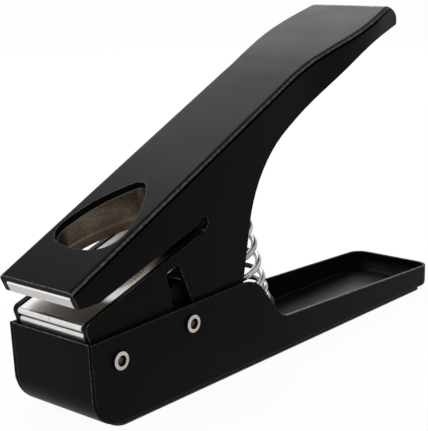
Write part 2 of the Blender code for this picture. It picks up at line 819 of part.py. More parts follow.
def build_punch_carrier():
    """Folded saddle under the punch, with an oblong eye in each cheek for the drive pin."""
    high, low = carrier_heights()
    along, up = card_place(DRIVE)
    half = CARRIER_WIDTH / 2
    foot = up - CARRIER_EYE_RADIUS
    lobe = CARRIER_EYE_RADIUS * CARRIER_LOBE_SHARE
    outline = filleted(
        [
            (card_point(CARRIER_FRONT, high), CARRIER_FOLD),
            (card_point(CARRIER_REAR, high), CARRIER_FOLD),
            (card_point(along + CARRIER_EYE_RADIUS, foot), lobe),
            (card_point(along - CARRIER_EYE_RADIUS, foot), lobe),
            (card_point(CARRIER_FRONT, low - CARRIER_SHEET), CARRIER_FOLD),
        ],
        True,
    )
    saddle = side_prism("punch_carrier", outline, -half, half)
    inside = half - CARRIER_SHEET
    room = [
        card_point(CARRIER_FRONT - CARRIER_EYE_RADIUS, low),
        card_point(CARRIER_REAR + CARRIER_EYE_RADIUS, low),
        card_point(CARRIER_REAR + CARRIER_EYE_RADIUS, foot - OVERRUN),
        card_point(CARRIER_FRONT - CARRIER_EYE_RADIUS, foot - OVERRUN),
    ]
    combine(saddle, side_prism("carrier_room", room, -inside, inside))
    drift = drive_travel()[0]
    radius = PIN_RADIUS + GAP
    eye = []
    for step in range(EYE_STEPS * 2):
        angle = -math.pi / 2 + math.pi * step / EYE_STEPS
        shift = drift if math.cos(angle) > 0 else 0
        around = CARD_ALONG * math.cos(angle) + CARD_UP * math.sin(angle)
        eye.append(card_point(along + shift, up) + around * radius)
    combine(saddle, side_prism("carrier_eye", eye, -BASE_WIDTH, BASE_WIDTH))
    reach = CARRIER_SHEET + OVERRUN
    for index, place in enumerate(cap_places()):
        cut_name = "carrier_cap_hole_" + str(index)
        hole = rod(cut_name, -reach, reach, CAP_SHANK_RADIUS + GAP, SMALL_SIDES)
        stand_on_card(hole, 0, place, high)
        combine(saddle, hole)
    return saddle


def build_carrier_screws():
    """Two cap screws that hold the carrier to the punch."""
    _, low = carrier_heights()
    neck = low - GAP
    head = neck - CAP_HEAD_THICK
    tip = low + CARRIER_SHEET + GAP + CAP_BITE
    profile = [
        (tip, 0),
        (tip, CAP_SHANK_RADIUS),
        (neck, CAP_SHANK_RADIUS),
        (neck, CAP_HEAD_RADIUS),
        (head, CAP_HEAD_RADIUS),
        (head, 0),
    ]
    screws = []
    for index, place in enumerate(cap_places()):
        screw = turned("carrier_screw_" + str(index + 1), profile, SMALL_SIDES)
        stand_on_card(screw, 0, place, 0)
        screws.append(screw)
    return screws


# Pins
def hex_cutter(name, face_x, inward, point):
    """Six-sided socket sunk from a face."""
    bm = bmesh.new()
    radius = SOCKET_FLATS / math.sqrt(3)
    ring = []
    for step in range(6):
        angle = math.tau * step / 6
        ring.append(bm.verts.new((0, radius * math.cos(angle), radius * math.sin(angle))))
    face = bm.faces.new(ring)
    pushed = bmesh.ops.extrude_face_region(bm, geom=[face])
    moved = [item for item in pushed["geom"] if isinstance(item, bmesh.types.BMVert)]
    bmesh.ops.translate(bm, vec=Vector((SOCKET_DEPTH + OVERRUN, 0, 0)), verts=moved)
    cutter = object_from(name, bm)
    start = face_x - SOCKET_DEPTH if inward > 0 else face_x - OVERRUN
    cutter.location = world(start, point)
    return cutter


def build_pin(label, point):
    """Barrel from the far side and the socket screw that closes it from the near side."""
    wall = BASE_WIDTH / 2 + GAP
    crown = wall + PIN_FLANGE_THICK
    joint = wall - SCREW_SHOULDER
    bore_end = joint - GAP - THREAD_LENGTH - GAP
    barrel = turned(
        label + "_barrel",
        [
            (-crown, 0),
            (-crown, PIN_FLANGE_RADIUS),
            (-wall, PIN_FLANGE_RADIUS),
            (-wall, PIN_RADIUS),
            (joint - GAP, PIN_RADIUS),
            (joint - GAP, THREAD_RADIUS + GAP),
            (bore_end, THREAD_RADIUS + GAP),
            (bore_end, 0),
        ],
    )
    barrel.location = world(0, point)
    combine(barrel, hex_cutter(label + "_barrel_socket", -crown, -1, point))
    screw = turned(
        label + "_screw",
        [
            (crown, 0),
            (crown, PIN_FLANGE_RADIUS),
            (wall, PIN_FLANGE_RADIUS),
            (wall, PIN_RADIUS),
            (joint, PIN_RADIUS),
            (joint, THREAD_RADIUS),
            (joint - THREAD_LENGTH, THREAD_RADIUS),
            (joint - THREAD_LENGTH, 0),
        ],
    )
    screw.location = world(0, point)
    combine(screw, hex_cutter(label + "_screw_socket", crown, 1, point))
    return barrel, screw


def tube(name, low_x, high_x, wall, point):
    """Plain tube around a pin."""
    inner = PIN_RADIUS + GAP
    piece = turned(
        name, [(low_x, inner), (high_x, inner), (high_x, inner + wall), (low_x, inner + wall)]
    )
    piece.location = world(0, point)
    return piece


def pair_of_tubes(name, low_x, high_x, wall, point):
    """The same tube on both sides."""
    near = tube(name + "_near", low_x, high_x, wall, point)
    far = tube(name + "_far", -high_x, -low_x, wall, point)
    return near, far


# Spring and seats
def spring_point(radius, turn, rise):
    """World place on the spring's helix, rise measured up its leaning axis."""
    centre = Vector((SPRING_FOOT_Y, SPRING_FOOT_Z)) + SPRING_UP * rise
    across = Vector((SPRING_UP.y, -SPRING_UP.x)) * (radius * math.sin(turn))
    return world(radius * math.cos(turn), centre + across)


def spring_height():
    """Length between the two seats' faces, along the spring's axis."""
    foot = Vector((SPRING_FOOT_Y, SPRING_FOOT_Z))
    under = top_point(0, HEAD_SHEET + GAP)
    meets = crossing(foot, SPRING_UP, under, TOP_ALONG)
    tilt = abs(TOP_ANGLE - SPRING_LEAN)
    return (meets - foot).length - SEAT_RADIUS * math.tan(tilt) - SEAT_FLANGE


def build_return_spring():
    """Compression spring with closed end turns, as one tube along a helix."""
    room = spring_height() - 2 * GAP - SPRING_WIRE
    end_pitch = SPRING_WIRE + SPRING_END_GAP
    active = room - 2 * SPRING_END_TURNS * end_pitch
    active_turns = active / SPRING_PITCH
    turns = active_turns + 2 * SPRING_END_TURNS
    count = math.ceil(turns * TURN_POINTS)
    points = []
    for index in range(count + 1):
        turn = turns * index / count
        low = min(turn, SPRING_END_TURNS) * end_pitch
        middle = min(max(turn - SPRING_END_TURNS, 0), active_turns) * SPRING_PITCH
        high = max(turn - SPRING_END_TURNS - active_turns, 0) * end_pitch
        rise = GAP + SPRING_WIRE / 2 + low + middle + high
        points.append(spring_point(SPRING_RADIUS, turn * math.tau, rise))
    curve = bpy.data.curves.new("return_spring", "CURVE")
    curve.dimensions = "3D"
    curve.bevel_depth = SPRING_WIRE / 2
    curve.bevel_resolution = 1
    curve.use_fill_caps = True
    spline = curve.splines.new("POLY")
    spline.points.add(len(points) - 1)
    for target, point in zip(spline.points, points):
        target.co = (*point, 1)
    least = min(
        (points[i] - points[j]).length
        for i in range(len(points))
        for j in range(i + TURN_POINTS // 2, len(points))
    )
    print("return_spring least gap to itself, m:", round(least - SPRING_WIRE, 5))
    spring = bpy.data.objects.new("return_spring", curve)
    bpy.context.collection.objects.link(spring)
    return spring


def seat_blank(name, back, face, boss_end):
    """Round seat turned about the spring's axis: a flange from back to face, and a boss beyond."""
    blank = turned(
        name,
        [
            (back, 0),
            (back, SEAT_RADIUS),
            (face, SEAT_RADIUS),
            (face, SEAT_BOSS_RADIUS),
            (boss_end, SEAT_BOSS_RADIUS),
            (boss_end, 0),
        ],
    )
    rise = Vector((0, SPRING_UP.x, SPRING_UP.y))
    blank.rotation_mode = "QUATERNION"
    blank.rotation_quaternion = Vector((1, 0, 0)).rotation_difference(rise)
    blank.location = world(0, (SPRING_FOOT_Y, SPRING_FOOT_Z))
    return blank


def build_lower_seat():
    """Wedge-footed seat on the tub's floor, cut level underneath."""
    seat = seat_blank("spring_foot", -SPRING_FOOT_Z - SEAT_RADIUS, 0, SEAT_BOSS_HEIGHT)
    level = FLOOR_TOP + GAP
    outline = [
        (SPRING_FOOT_Y - SEAT_RADIUS * 2, level),
        (SPRING_FOOT_Y + SEAT_RADIUS * 2, level),
        (SPRING_FOOT_Y + SEAT_RADIUS * 2, CREST_HEIGHT),
        (SPRING_FOOT_Y - SEAT_RADIUS * 2, CREST_HEIGHT),
    ]
    space = side_prism("spring_foot_space", outline, -BASE_WIDTH, BASE_WIDTH)
    return combine(seat, space, "INTERSECT")


def build_upper_seat():
    """Cup under the top sheet that the spring pushes on."""
    face = spring_height()
    seat = seat_blank("spring_cup", face + SEAT_RADIUS, face, face - SEAT_BOSS_HEIGHT)
    outline = [
        top_point(0, HEAD_SHEET + GAP),
        top_point(TOP_BEND_Y, HEAD_SHEET + GAP),
        top_point(TOP_BEND_Y, CUT_REACH),
        top_point(0, CUT_REACH),
    ]
    space = side_prism("spring_cup_space", outline, -BASE_WIDTH, BASE_WIDTH)
    return combine(seat, space, "INTERSECT")


def clear_scene():
    """Removes what the scene starts with."""
    for obj in list(bpy.data.objects):
        bpy.data.objects.remove(obj, do_unlink=True)


def build():
    """Models every piece and hangs it on what carries it."""
    clear_scene()
    black_steel = material("black_powder_coat", (0.012, 0.012, 0.013), 0.42, 0.0)
    zinc = material("zinc_plated_steel", (0.62, 0.62, 0.63), 0.28, 1.0)
    nickel = material("nickel_plated_die_steel", (0.44, 0.39, 0.33), 0.26, 1.0)
    bright = material("bright_nickel", (0.60, 0.57, 0.53), 0.22, 1.0)
    nylon = material("white_nylon", (0.74, 0.73, 0.70), 0.5, 0.0)
    rubber = material("black_pad", (0.010, 0.010, 0.010), 0.75, 0.0)
    plastic = material("black_nylon", (0.014, 0.014, 0.015), 0.55, 0.0)

    swing = axis_empty("handle_axis", 0, PIVOT)
    thrust = axis_empty("punch_axis", 0, card_point(PICK_FRONT + PICK_LENGTH / 2, 0), swing)

    finish(build_base_tub(), black_steel)
    finish(build_base_pad(), rubber)
    finish(build_head_shell(), black_steel, swing)
    finish(build_die_block(), nickel, swing)
    upper = -PLATE_BELOW_CARD
    lower = upper - PLATE_THICK - PLATE_SPACE
    finish(plate_solid("guide_plate_upper", upper, True), zinc, swing)
    finish(plate_solid("guide_plate_lower", lower, False), zinc, swing)
    for rivet in build_guide_rivets():
        finish(rivet, zinc, swing)
    finish(build_pick_punch(), nickel, thrust)
    finish(build_punch_carrier(), zinc, thrust)
    for screw in build_carrier_screws():
        finish(screw, zinc, thrust)
    for label, point in (("pivot", PIVOT), ("drive", DRIVE)):
        barrel, screw = build_pin(label, point)
        finish(barrel, bright)
        finish(screw, bright)
    washer_low = HEAD_WIDTH / 2 + GAP
    washer_high = BASE_INSIDE - GAP
    washer_wall = WASHER_RADIUS - PIN_RADIUS - GAP
    for washer in pair_of_tubes("pivot_washer", washer_low, washer_high, washer_wall, PIVOT):
        finish(washer, nylon)
    bush_low = CARRIER_WIDTH / 2 + GAP
    for bush in pair_of_tubes("drive_bush", bush_low, washer_high, BUSH_WALL, DRIVE):
        finish(bush, nylon)
    sleeve = HEAD_INSIDE - GAP
    finish(tube("pivot_sleeve", -sleeve, sleeve, SLEEVE_WALL, PIVOT), zinc, swing)
    sleeve = CARRIER_WIDTH / 2 - CARRIER_SHEET - GAP
    finish(tube("drive_sleeve", -sleeve, sleeve, SLEEVE_WALL, DRIVE), zinc)
    finish(build_return_spring(), zinc)
    finish(build_lower_seat(), plastic)
    finish(build_upper_seat(), plastic, swing)


build()
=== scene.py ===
"""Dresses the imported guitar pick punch: folded sheets with rounded edges, ground
plates, pins, a wound spring and their finishes, in a plain pale studio.

Metres, +Z up. X runs across and Y from the nose to the tray. Side outlines are
(y, z), with y measured from the base's front wall and z from the table.
"""

import math

import bmesh
import bpy
from mathutils import Matrix, Vector

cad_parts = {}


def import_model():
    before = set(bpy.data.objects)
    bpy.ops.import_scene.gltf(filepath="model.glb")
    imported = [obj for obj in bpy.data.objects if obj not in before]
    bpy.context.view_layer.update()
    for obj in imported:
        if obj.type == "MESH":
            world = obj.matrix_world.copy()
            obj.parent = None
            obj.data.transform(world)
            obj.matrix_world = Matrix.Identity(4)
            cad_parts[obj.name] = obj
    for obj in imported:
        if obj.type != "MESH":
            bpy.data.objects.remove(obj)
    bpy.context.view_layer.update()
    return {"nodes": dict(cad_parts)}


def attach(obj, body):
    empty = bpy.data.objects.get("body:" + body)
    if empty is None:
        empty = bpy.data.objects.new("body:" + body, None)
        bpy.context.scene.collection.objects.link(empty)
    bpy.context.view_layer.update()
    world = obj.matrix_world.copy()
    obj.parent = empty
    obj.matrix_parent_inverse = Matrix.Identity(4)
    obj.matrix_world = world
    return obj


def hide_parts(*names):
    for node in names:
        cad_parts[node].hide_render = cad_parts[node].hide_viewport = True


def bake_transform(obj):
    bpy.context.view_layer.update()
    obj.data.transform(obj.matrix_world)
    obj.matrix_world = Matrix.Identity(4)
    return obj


bl_info = {
    "name": "Guitar pick punch",
    "version": (1, 0, 0),
    "blender": (4, 5, 0),
    "location": "View3D > Sidebar > Pick punch",
    "description": "Builds the looks of a hand lever punch that cuts guitar picks",
    "category": "Object",
}

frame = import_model()

# Clearances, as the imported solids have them
GAP = 0.0003
OVERRUN = 0.0020
HEAD_SIDE_GAP = 0.0008

# Facets
ARC_STEP_DEG = 5.0
FOLD_STEPS = 8
ROUND_SIDES = 64
SHARP_ANGLE = math.radians(30)
FLAT_ANGLE = math.radians(0.1)
STATION_STEP = 0.0030
EDGE_SEGMENTS = 2
MERGE_SHARE = 0.2

# Painted edge highlight: rounded edges take a lighter colour the more they face this way, forward and
# to the far side
EDGE_LIGHT_FACING = Vector((-0.5, -0.8, 0.35)).normalized()
EDGE_LIGHT_LEAST = 0.12
# The tray's near rim takes the full painted highlight
RIM_HIGHLIGHT = 1.0
RIM_UPWARD = 0.2

# Painted dark reflection: a dark streak along the wire's faces that turn this way
DARK_REFLECTION_SIDE = Vector((0.66, -0.74, 0.0)).normalized()
DARK_REFLECTION_WITHIN = 0.93

# Pick outline
PICK_WIDTH = 0.0250
PICK_LENGTH = 0.0310
PICK_SHOULDER_RADIUS = 0.0078
PICK_TIP_RADIUS = 0.0030
PICK_CROWN_RADIUS = 0.0260
PICK_SIDE_RADIUS = 0.0400
PICK_FRONT = 0.0160
PICK_END = PICK_FRONT + PICK_LENGTH

# Die block
# The die's front takes a near-white colour, its ground finish brightened as a painted highlight;
# faces turned down take less of it, as painted shade
FRONT_BAND = 0.0006
FRONT_TURN = -0.3
FRONT_SHARE = 0.6
DIE_FRONT_ROUND = 0.0007
DIE_SIDE_WALL = 0.00115
DIE_REAR_WALL = 0.0050
DIE_ABOVE_CARD = 0.0029
DIE_LAND = 0.0030
DIE_LENGTH = PICK_END + DIE_REAR_WALL
CHUTE_MARGIN = 0.0005
CHUTE_TIP_EXTRA = 0.0012

# Head's sheet and width
HEAD_SHEET = 0.0020
HEAD_FOLD = 0.0022
HEAD_INSIDE = PICK_WIDTH / 2 + DIE_SIDE_WALL + GAP
HEAD_WIDTH = (HEAD_INSIDE + HEAD_SHEET) * 2

# Along the fold a painted highlight line and then a painted dark line of shade run, told by the X of
# a face's normal
FOLD_HIGHLIGHT_START = 0.55
FOLD_HIGHLIGHT_END = 0.8
FOLD_SHADE_END = 0.97
FOLD_UPWARD = 0.25
FOLD_HIGHLIGHT = 0.5

# The nose's front top edge takes the full painted edge highlight
NOSE_HIGHLIGHT_RUN = 0.0008
NOSE_UPWARD = 0.3
NOSE_FORWARD = -0.2
NOSE_HIGHLIGHT = 1.0

# Base's sheet and width
BASE_WALL = 0.0010
BASE_FOLD = 0.0011
BASE_INSIDE = HEAD_WIDTH / 2 + HEAD_SIDE_GAP
BASE_WIDTH = (BASE_INSIDE + BASE_WALL) * 2

# Pins
PIVOT = Vector((0.0110, 0.0209))
DRIVE = Vector((0.0426, 0.0235))
PIN_RADIUS = 0.0021
BUSH_WALL = 0.0006
PIVOT_COVER = 0.0074
DRIVE_COVER = 0.0068
PIN_SOFT_SHARE = 0.55
PIN_FOOT_SHARE = 0.3
PIN_ROUND_STEPS = 6
SOCKET_SIDES = 6
SOCKET_SEEN_SHARE = 1.1

# Base's side outline
BASE_LENGTH = 0.1872
ORIGIN_Y = 0.0930
FRONT_HEIGHT = PIVOT.y + PIVOT_COVER
FRONT_RAKE = 0.0012
FRONT_ROUND = 0.0105
CREST_HEIGHT = DRIVE.y + DRIVE_COVER
CREST_Y = 0.0750
CREST_ROUND = 0.0140
TRAY_RUN = 0.0134
TRAY_Y = CREST_Y + TRAY_RUN
TRAY_HEIGHT = 0.0131
TRAY_ROUND = 0.0100
TRAY_END_HEIGHT = 0.0090
REAR_ROUND = 0.0060
REAR_PLAN_ROUND = 0.0060
PAD_THICK = 0.0007
FLOOR_UNDER = PAD_THICK + GAP

# Seams where the folded front panel meets the side walls
SEAM_INSET = 0.0006
SEAM_WIDTH = 0.0006
SEAM_DEPTH = 0.0007
SEAM_RUN = FRONT_ROUND * 1.5

# Head's side outline
NOSE_Y = -0.0046
NOSE_OVER_PIN = 0.0211
NOSE = Vector((NOSE_Y, DRIVE.y + NOSE_OVER_PIN))
NOSE_DEPTH = 0.0060
TOP_ANGLE = math.radians(25.6)
TOP_BEND_Y = 0.1093
TOP_BEND_ROUND = 0.1700
GRIP_ANGLE = math.radians(17.9)
TIP_Y = 0.1630
TIP_ROUND = 0.0086
TIP_PLAN_ROUND = 0.0040
FLARE_EXTRA = 0.0038
FLARE_LENGTH = 0.0700
FLARE_PAST_TIP = 0.0060
LIP_DEPTH = 0.0090
GRIP_LENGTH = 0.0257
GRIP_UNDER_Y = TIP_Y - GRIP_LENGTH
GRIP_DEPTH = 0.0070
GRIP_UNDER_ROUND = 0.0700
HEEL_BEHIND_DRIVE = 0.0249
HEEL_Y = DRIVE.x + HEEL_BEHIND_DRIVE
HEEL_Z = 0.0155
HEEL_ROUND = 0.0050
THROAT_RUN = 0.0103
THROAT_Y = HEEL_Y + THROAT_RUN
THROAT_DEPTH = 0.0168
THROAT_ROUND = 0.0420
TOE_Z = 0.0135
TOE_ROUND = 0.0050

# Card slot
CARD_DROP = 0.01005
CARD_ZERO = Vector((0, NOSE.y - CARD_DROP))
CARD_ANGLE = math.radians(18.2)
SLOT_HEIGHT = 0.0026
SLOT_LENGTH = 0.0545
SLOT_RELIEF_RADIUS = 0.0022
SLOT_RELIEF_LIFT = 0.0017
JAW_FRONT = -0.0006
JAW_ROUND = 0.0019
JAW_DROP = 0.0008

# Notch for the drive pin
NOTCH_TOP = 0.0043
NOTCH_TOP_WIDTH = 0.0058
NOTCH_FOOT_WIDTH = 0.0104
NOTCH_ROUND = 0.0010

# Guide plates
PLATE_BELOW_CARD = 0.0012
PLATE_THICK = 0.0023
PLATE_SPACE = 0.0003
PLATE_REAR_WALL = 0.0165
PLATE_LENGTH = PICK_END + PLATE_REAR_WALL
PLATE_MARK = 0.0010
LIP_RUN = 0.0052
LIP_BELOW_CARD = 0.0078
PLATE_NOSE_SHARE = 0.499

# Spring and seats
SPRING_LEAN = math.radians(18.5)
SPRING_BEHIND_HEEL = 0.0226
SPRING_FOOT_Z = 0.0131
SPRING_FOOT = Vector((HEEL_Y + SPRING_BEHIND_HEEL, SPRING_FOOT_Z))
SPRING_RADIUS = 0.0085
SPRING_WIRE = 0.0022
SPRING_PITCH = 0.0068
SPRING_END_PITCH = 0.0042
SPRING_END_TURNS = 2.0
SPRING_SHARP = math.radians(60)
WIRE_POINTS = 48.0
WIRE_SIDES = 16
SEAT_RIM = 0.00095
SEAT_RADIUS = SPRING_RADIUS + SPRING_WIRE / 2 + SEAT_RIM
SEAT_BOSS_GAP = 0.00125
SEAT_BOSS_RADIUS = SPRING_RADIUS - SPRING_WIRE / 2 - SEAT_BOSS_GAP
SEAT_BOSS_HEIGHT = 0.0035
SEAT_FLANGE = 0.0015

CARD_ALONG = Vector((math.cos(CARD_ANGLE), math.sin(CARD_ANGLE)))
CARD_UP = Vector((-math.sin(CARD_ANGLE), math.cos(CARD_ANGLE)))
TOP_ALONG = Vector((math.cos(TOP_ANGLE), math.sin(TOP_ANGLE)))
TOP_UP = Vector((-math.sin(TOP_ANGLE), math.cos(TOP_ANGLE)))
SPRING_UP = Vector((-math.sin(SPRING_LEAN), math.cos(SPRING_LEAN)))
CUT_REACH = BASE_WIDTH * 2

# Painted shade on the plates: dark underneath and inside the head, and on their tops more and more
# toward the rear
LEVEL = 0.9
PLATE_TOP_SHADE = 0.5
REAR_RAMP_START = -0.084
REAR_RAMP_END = -0.050
REAR_RAMP_LEAST = 0.25

# Grain of the finishes: sizes in millimetres, depths in metres and strengths of the bump
PEEL_MM = 0.9
HANDLING_MM = 22.0
PLATING_MM = 7.0
MOULDING_MM = 9.0
PEEL_DEPTH = 0.00003
PEEL_STRENGTH = 0.25
LAY_DEPTH = 0.00001
LAY_STRENGTH = 0.2
LAY_STRETCH = 0.03
GRAIN_STRENGTH = 0.3
PLASTIC_IOR = 1.5

# Camera: where it stands, how it looks, and its focal length in sensor millimetres
CAMERA_PLACE = Vector((0.2471, -0.3042, 0.1418))
CAMERA_AZIMUTH = math.radians(40.849)
CAMERA_ELEVATION = math.radians(13.821)
CAMERA_ROLL = math.radians(-1.178)
CAMERA_LENS = 97.28
CAMERA_NEAR = 0.01
CAMERA_FAR = 20.0

# Stage: each lamp's name, place and size
FLOOR_REACH = 3.0
LAMP_TARGET = Vector((0, 0, 0.05))
LAMPS = (
    ("key", Vector((-0.35, -0.55, 0.85)), 0.4),
    ("back", Vector((-0.57, 0.50, 0.66)), 0.6),
    ("tray", Vector((-0.60, 0.80, 0.24)), 0.25),
)

# Sockets of the colour Mix node, which share their names
MIX_FACTOR = 0
MIX_A = 6
MIX_B = 7
MIX_RESULT = 2


def linear(text):
    """Linear colour of an sRGB hex value."""
    out = []
    for start in (1, 3, 5):
        share = int(text[start:start + 2], 16) / 255
        out.append(share / 12.92 if share <= 0.04045 else ((share + 0.055) / 1.055) ** 2.4)
    return tuple(out)


def opaque(colour):
    """Colour with a full alpha."""
    return (*colour, 1)


# Side-view geometry
def card_point(along, up):
    """Place measured along the slot's lower edge and square to it."""
    return CARD_ZERO + CARD_ALONG * along + CARD_UP * up


def card_place(point):
    """The same two measures, read back from a place."""
    offset = Vector(point) - CARD_ZERO
    return offset.dot(CARD_ALONG), offset.dot(CARD_UP)


def top_point(along, down):
    """Place measured along the head's straight top from the nose, and square below it."""
    return NOSE + TOP_ALONG * along - TOP_UP * down


def crossing(start, direction, other, other_direction):
    """Where two lines meet."""
    det = direction.x * other_direction.y - direction.y * other_direction.x
    gap = other - start
    reach = (gap.x * other_direction.y - gap.y * other_direction.x) / det
    return start + direction * reach


def filleted(corners, closed=True):
    """Polyline through corners given as (point, radius), with an arc at each radius."""
    out = []
    count = len(corners)
    for index, (corner, radius) in enumerate(corners):
        corner = Vector(corner)
        at_end = not closed and index in (0, count - 1)
        if at_end or radius == 0:
            out.append(corner)
            continue
        before = (Vector(corners[index - 1][0]) - corner).normalized()
        after = (Vector(corners[(index + 1) % count][0]) - corner).normalized()
        opening = before.angle(after)
        centre = corner + (before + after).normalized() * (radius / math.sin(opening / 2))
        first = corner + before * (radius / math.tan(opening / 2)) - centre
        last = corner + after * (radius / math.tan(opening / 2)) - centre
        sweep = first.angle_signed(last)
        steps = max(2, math.ceil(abs(math.degrees(sweep)) / ARC_STEP_DEG))
        for step in range(steps + 1):
            turn = -sweep * step / steps
            out.append(centre + Matrix.Rotation(turn, 2) @ first)
    return out


def offset_corners(corners, inset):
    """Corners of an open path moved sideways, to the right of its run, radii kept concentric."""
    lines = []
    for (start, _), (end, _) in zip(corners, corners[1:]):
        run = (Vector(end) - Vector(start)).normalized()
        aside = Vector((run.y, -run.x)) * inset
        lines.append((Vector(start) + aside, run, Vector(end) + aside))
    out = [(lines[0][0], 0)]
    for (start, run, _), (other, other_run, _), (_, radius) in zip(lines, lines[1:], corners[1:]):
        turns_right = run.x * other_run.y - run.y * other_run.x < 0
        kept = radius - inset if turns_right else radius + inset
        out.append((crossing(start, run, other, other_run), kept))
    out.append((lines[-1][2], 0))
    return out


def stations(path):
    """The same path with its long stretches divided."""
    out = [path[0]]
    for end in path[1:]:
        start = out[-1]
        parts = max(1, math.ceil((end - start).length / STATION_STEP))
        out.extend(start.lerp(end, part / parts) for part in range(1, parts + 1))
    return out


def pick_outline(margin, tip_extra=0):
    """Rounded triangle of a pick as (x, along), built of arcs that run into each other."""
    half = PICK_WIDTH / 2
    shoulder_x = half - PICK_SHOULDER_RADIUS
    crown_reach = PICK_CROWN_RADIUS - PICK_SHOULDER_RADIUS
    crown_y = PICK_FRONT + PICK_CROWN_RADIUS
    shoulder = Vector((shoulder_x, crown_y - math.sqrt(crown_reach ** 2 - shoulder_x ** 2)))
    tip = Vector((0, PICK_FRONT + PICK_LENGTH - PICK_TIP_RADIUS + tip_extra))
    near = PICK_SIDE_RADIUS - PICK_SHOULDER_RADIUS
    far = PICK_SIDE_RADIUS - PICK_TIP_RADIUS
    span = tip - shoulder
    along = (span.length ** 2 + near ** 2 - far ** 2) / (2 * span.length)
    aside = math.sqrt(near ** 2 - along ** 2)
    run = span.normalized()
    side = shoulder + run * along - Vector((run.y, -run.x)) * aside
    crown = Vector((0, crown_y))
    points = []

    def arc(centre, radius, start, end):
        sweep = math.degrees(end - start)
        steps = max(2, math.ceil(abs(sweep) / ARC_STEP_DEG))
        for index in range(steps):
            angle = start + (end - start) * index / steps
            points.append(centre + Vector((math.cos(angle), math.sin(angle))) * (radius + margin))

    def heading(origin, target):
        offset = target - origin
        return math.atan2(offset.y, offset.x)

    right_crown = heading(crown, shoulder)
    right_side = heading(side, shoulder)
    right_tip = heading(side, tip)
    arc(crown, PICK_CROWN_RADIUS, -math.pi / 2, right_crown)
    arc(shoulder, PICK_SHOULDER_RADIUS, right_crown, right_side)
    arc(side, PICK_SIDE_RADIUS, right_side, right_tip)
    arc(tip, PICK_TIP_RADIUS, right_tip, math.pi / 2)
    mirrored = [Vector((-point.x, point.y)) for point in reversed(points[1:])]
    top = tip + Vector((0, PICK_TIP_RADIUS + margin))
    return points + [top] + mirrored


# Solids
def linked(name, data):
    """New object of a mesh, a lamp or a camera, in the scene."""
    obj = bpy.data.objects.new(name, data)
    bpy.context.collection.objects.link(obj)
    return obj


def object_from(bm, name):
    """Object of a finished bmesh, with its faces turned outward."""
    bmesh.ops.recalc_face_normals(bm, faces=bm.faces)
    mesh = bpy.data.meshes.new(name)
    bm.to_mesh(mesh)
    bm.free()
    return linked(name, mesh)


def extruded(ring, reach, name="cutter"):
    """Solid from a ring of 3-D points pushed along a vector."""
    bm = bmesh.new()
    face = bm.faces.new([bm.verts.new(point) for point in ring])
    pushed = bmesh.ops.extrude_face_region(bm, geom=[face])
    moved = [item for item in pushed["geom"] if isinstance(item, bmesh.types.BMVert)]
    bmesh.ops.translate(bm, vec=reach, verts=moved)
    return object_from(bm, name)


def world(x, point):
    """World place of a side-view point at x."""
    return Vector((x, point[0] - ORIGIN_Y, point[1]))


def side_prism(outline, low_x=-BASE_WIDTH, high_x=BASE_WIDTH, name="cutter"):
    """Side-view outline as a solid across X."""
    ring = [world(low_x, point) for point in outline]
    return extruded(ring, Vector((high_x - low_x, 0, 0)), name)


def card_prism(outline, low, high=CUT_REACH):
    """Outline as (x, along) on the card plane, as a cutter between two heights square to it."""
    ring = [world(point[0], card_point(point[1], low)) for point in outline]
    rise = CARD_UP * (high - low)
    return extruded(ring, Vector((0, rise.x, rise.y)))


def channel_solid(path, half_width, far_z, fold, name="cutter"):
    """Loft of upright sections: each has its crown on the path and straight legs to far_z."""
    bm = bmesh.new()
    rings = []
    for point in path:
        half = half_width(point.x)
        down = 1 if far_z < point.y else -1
        section = [(half, far_z)]
        for step in range(FOLD_STEPS + 1):
            angle = math.pi / 2 * step / FOLD_STEPS
            x = half - fold + fold * math.cos(angle)
            z = point.y - down * (fold - fold * math.sin(angle))
            section.append((x, z))
        section += [(-x, z) for x, z in reversed(section)]
        rings.append([bm.verts.new(world(x, (point.x, z))) for x, z in section])
    for ring, following in zip(rings, rings[1:]):
        for index, vert in enumerate(ring):
            after = (index + 1) % len(ring)
            bm.faces.new((vert, ring[after], following[after], following[index]))
    bm.faces.new(rings[0])
    bm.faces.new(rings[-1])
    return object_from(bm, name)


def turned(profile, name="cutter"):
    """Solid of revolution about X from a closed (x, radius) profile."""
    bm = bmesh.new()
    verts = [bm.verts.new((x, 0, radius)) for x, radius in profile]
    edges = []
    for first, second in zip(verts, verts[1:] + verts[:1]):
        if first.co.z > 0 or second.co.z > 0:
            edges.append(bm.edges.new((first, second)))
    bmesh.ops.spin(
        bm, geom=verts + edges, cent=(0, 0, 0), axis=(1, 0, 0), angle=math.tau,
        steps=ROUND_SIDES, use_merge=True,
    )
    bmesh.ops.remove_doubles(bm, verts=bm.verts, dist=GAP * MERGE_SHARE)
    return object_from(bm, name)


def remove(obj):
    """Deletes an object and its mesh."""
    mesh = obj.data
    bpy.data.objects.remove(obj)
    bpy.data.meshes.remove(mesh)


def applied(obj):
    """Replaces an object's mesh by the evaluated one, and takes its modifiers off."""
    bpy.context.view_layer.update()
    depsgraph = bpy.context.evaluated_depsgraph_get()
    mesh = bpy.data.meshes.new_from_object(obj.evaluated_get(depsgraph))
    old = obj.data
    obj.modifiers.clear()
    obj.data = mesh
    bpy.data.meshes.remove(old)
    return obj


def placed(obj, matrix):
    """Moves a piece's mesh, so that its object stays at the origin."""
    obj.data.transform(matrix)
    return obj


def combine(obj, other, operation="DIFFERENCE"):
    """Boolean with another object, which is used up."""
    modifier = obj.modifiers.new("combine", "BOOLEAN")
    modifier.operation = operation
    modifier.solver = "EXACT"
    modifier.object = other
    applied(obj)
    remove(other)


def rod(reach, radius):
    """Plain round rod along X."""
    return turned([(-reach, 0), (-reach, radius), (reach, radius), (reach, 0)])


def bore(obj, point, radius):
    """Round hole right across, at a side-view point."""
    combine(obj, placed(rod(BASE_WIDTH, radius), Matrix.Translation(world(0, point))))


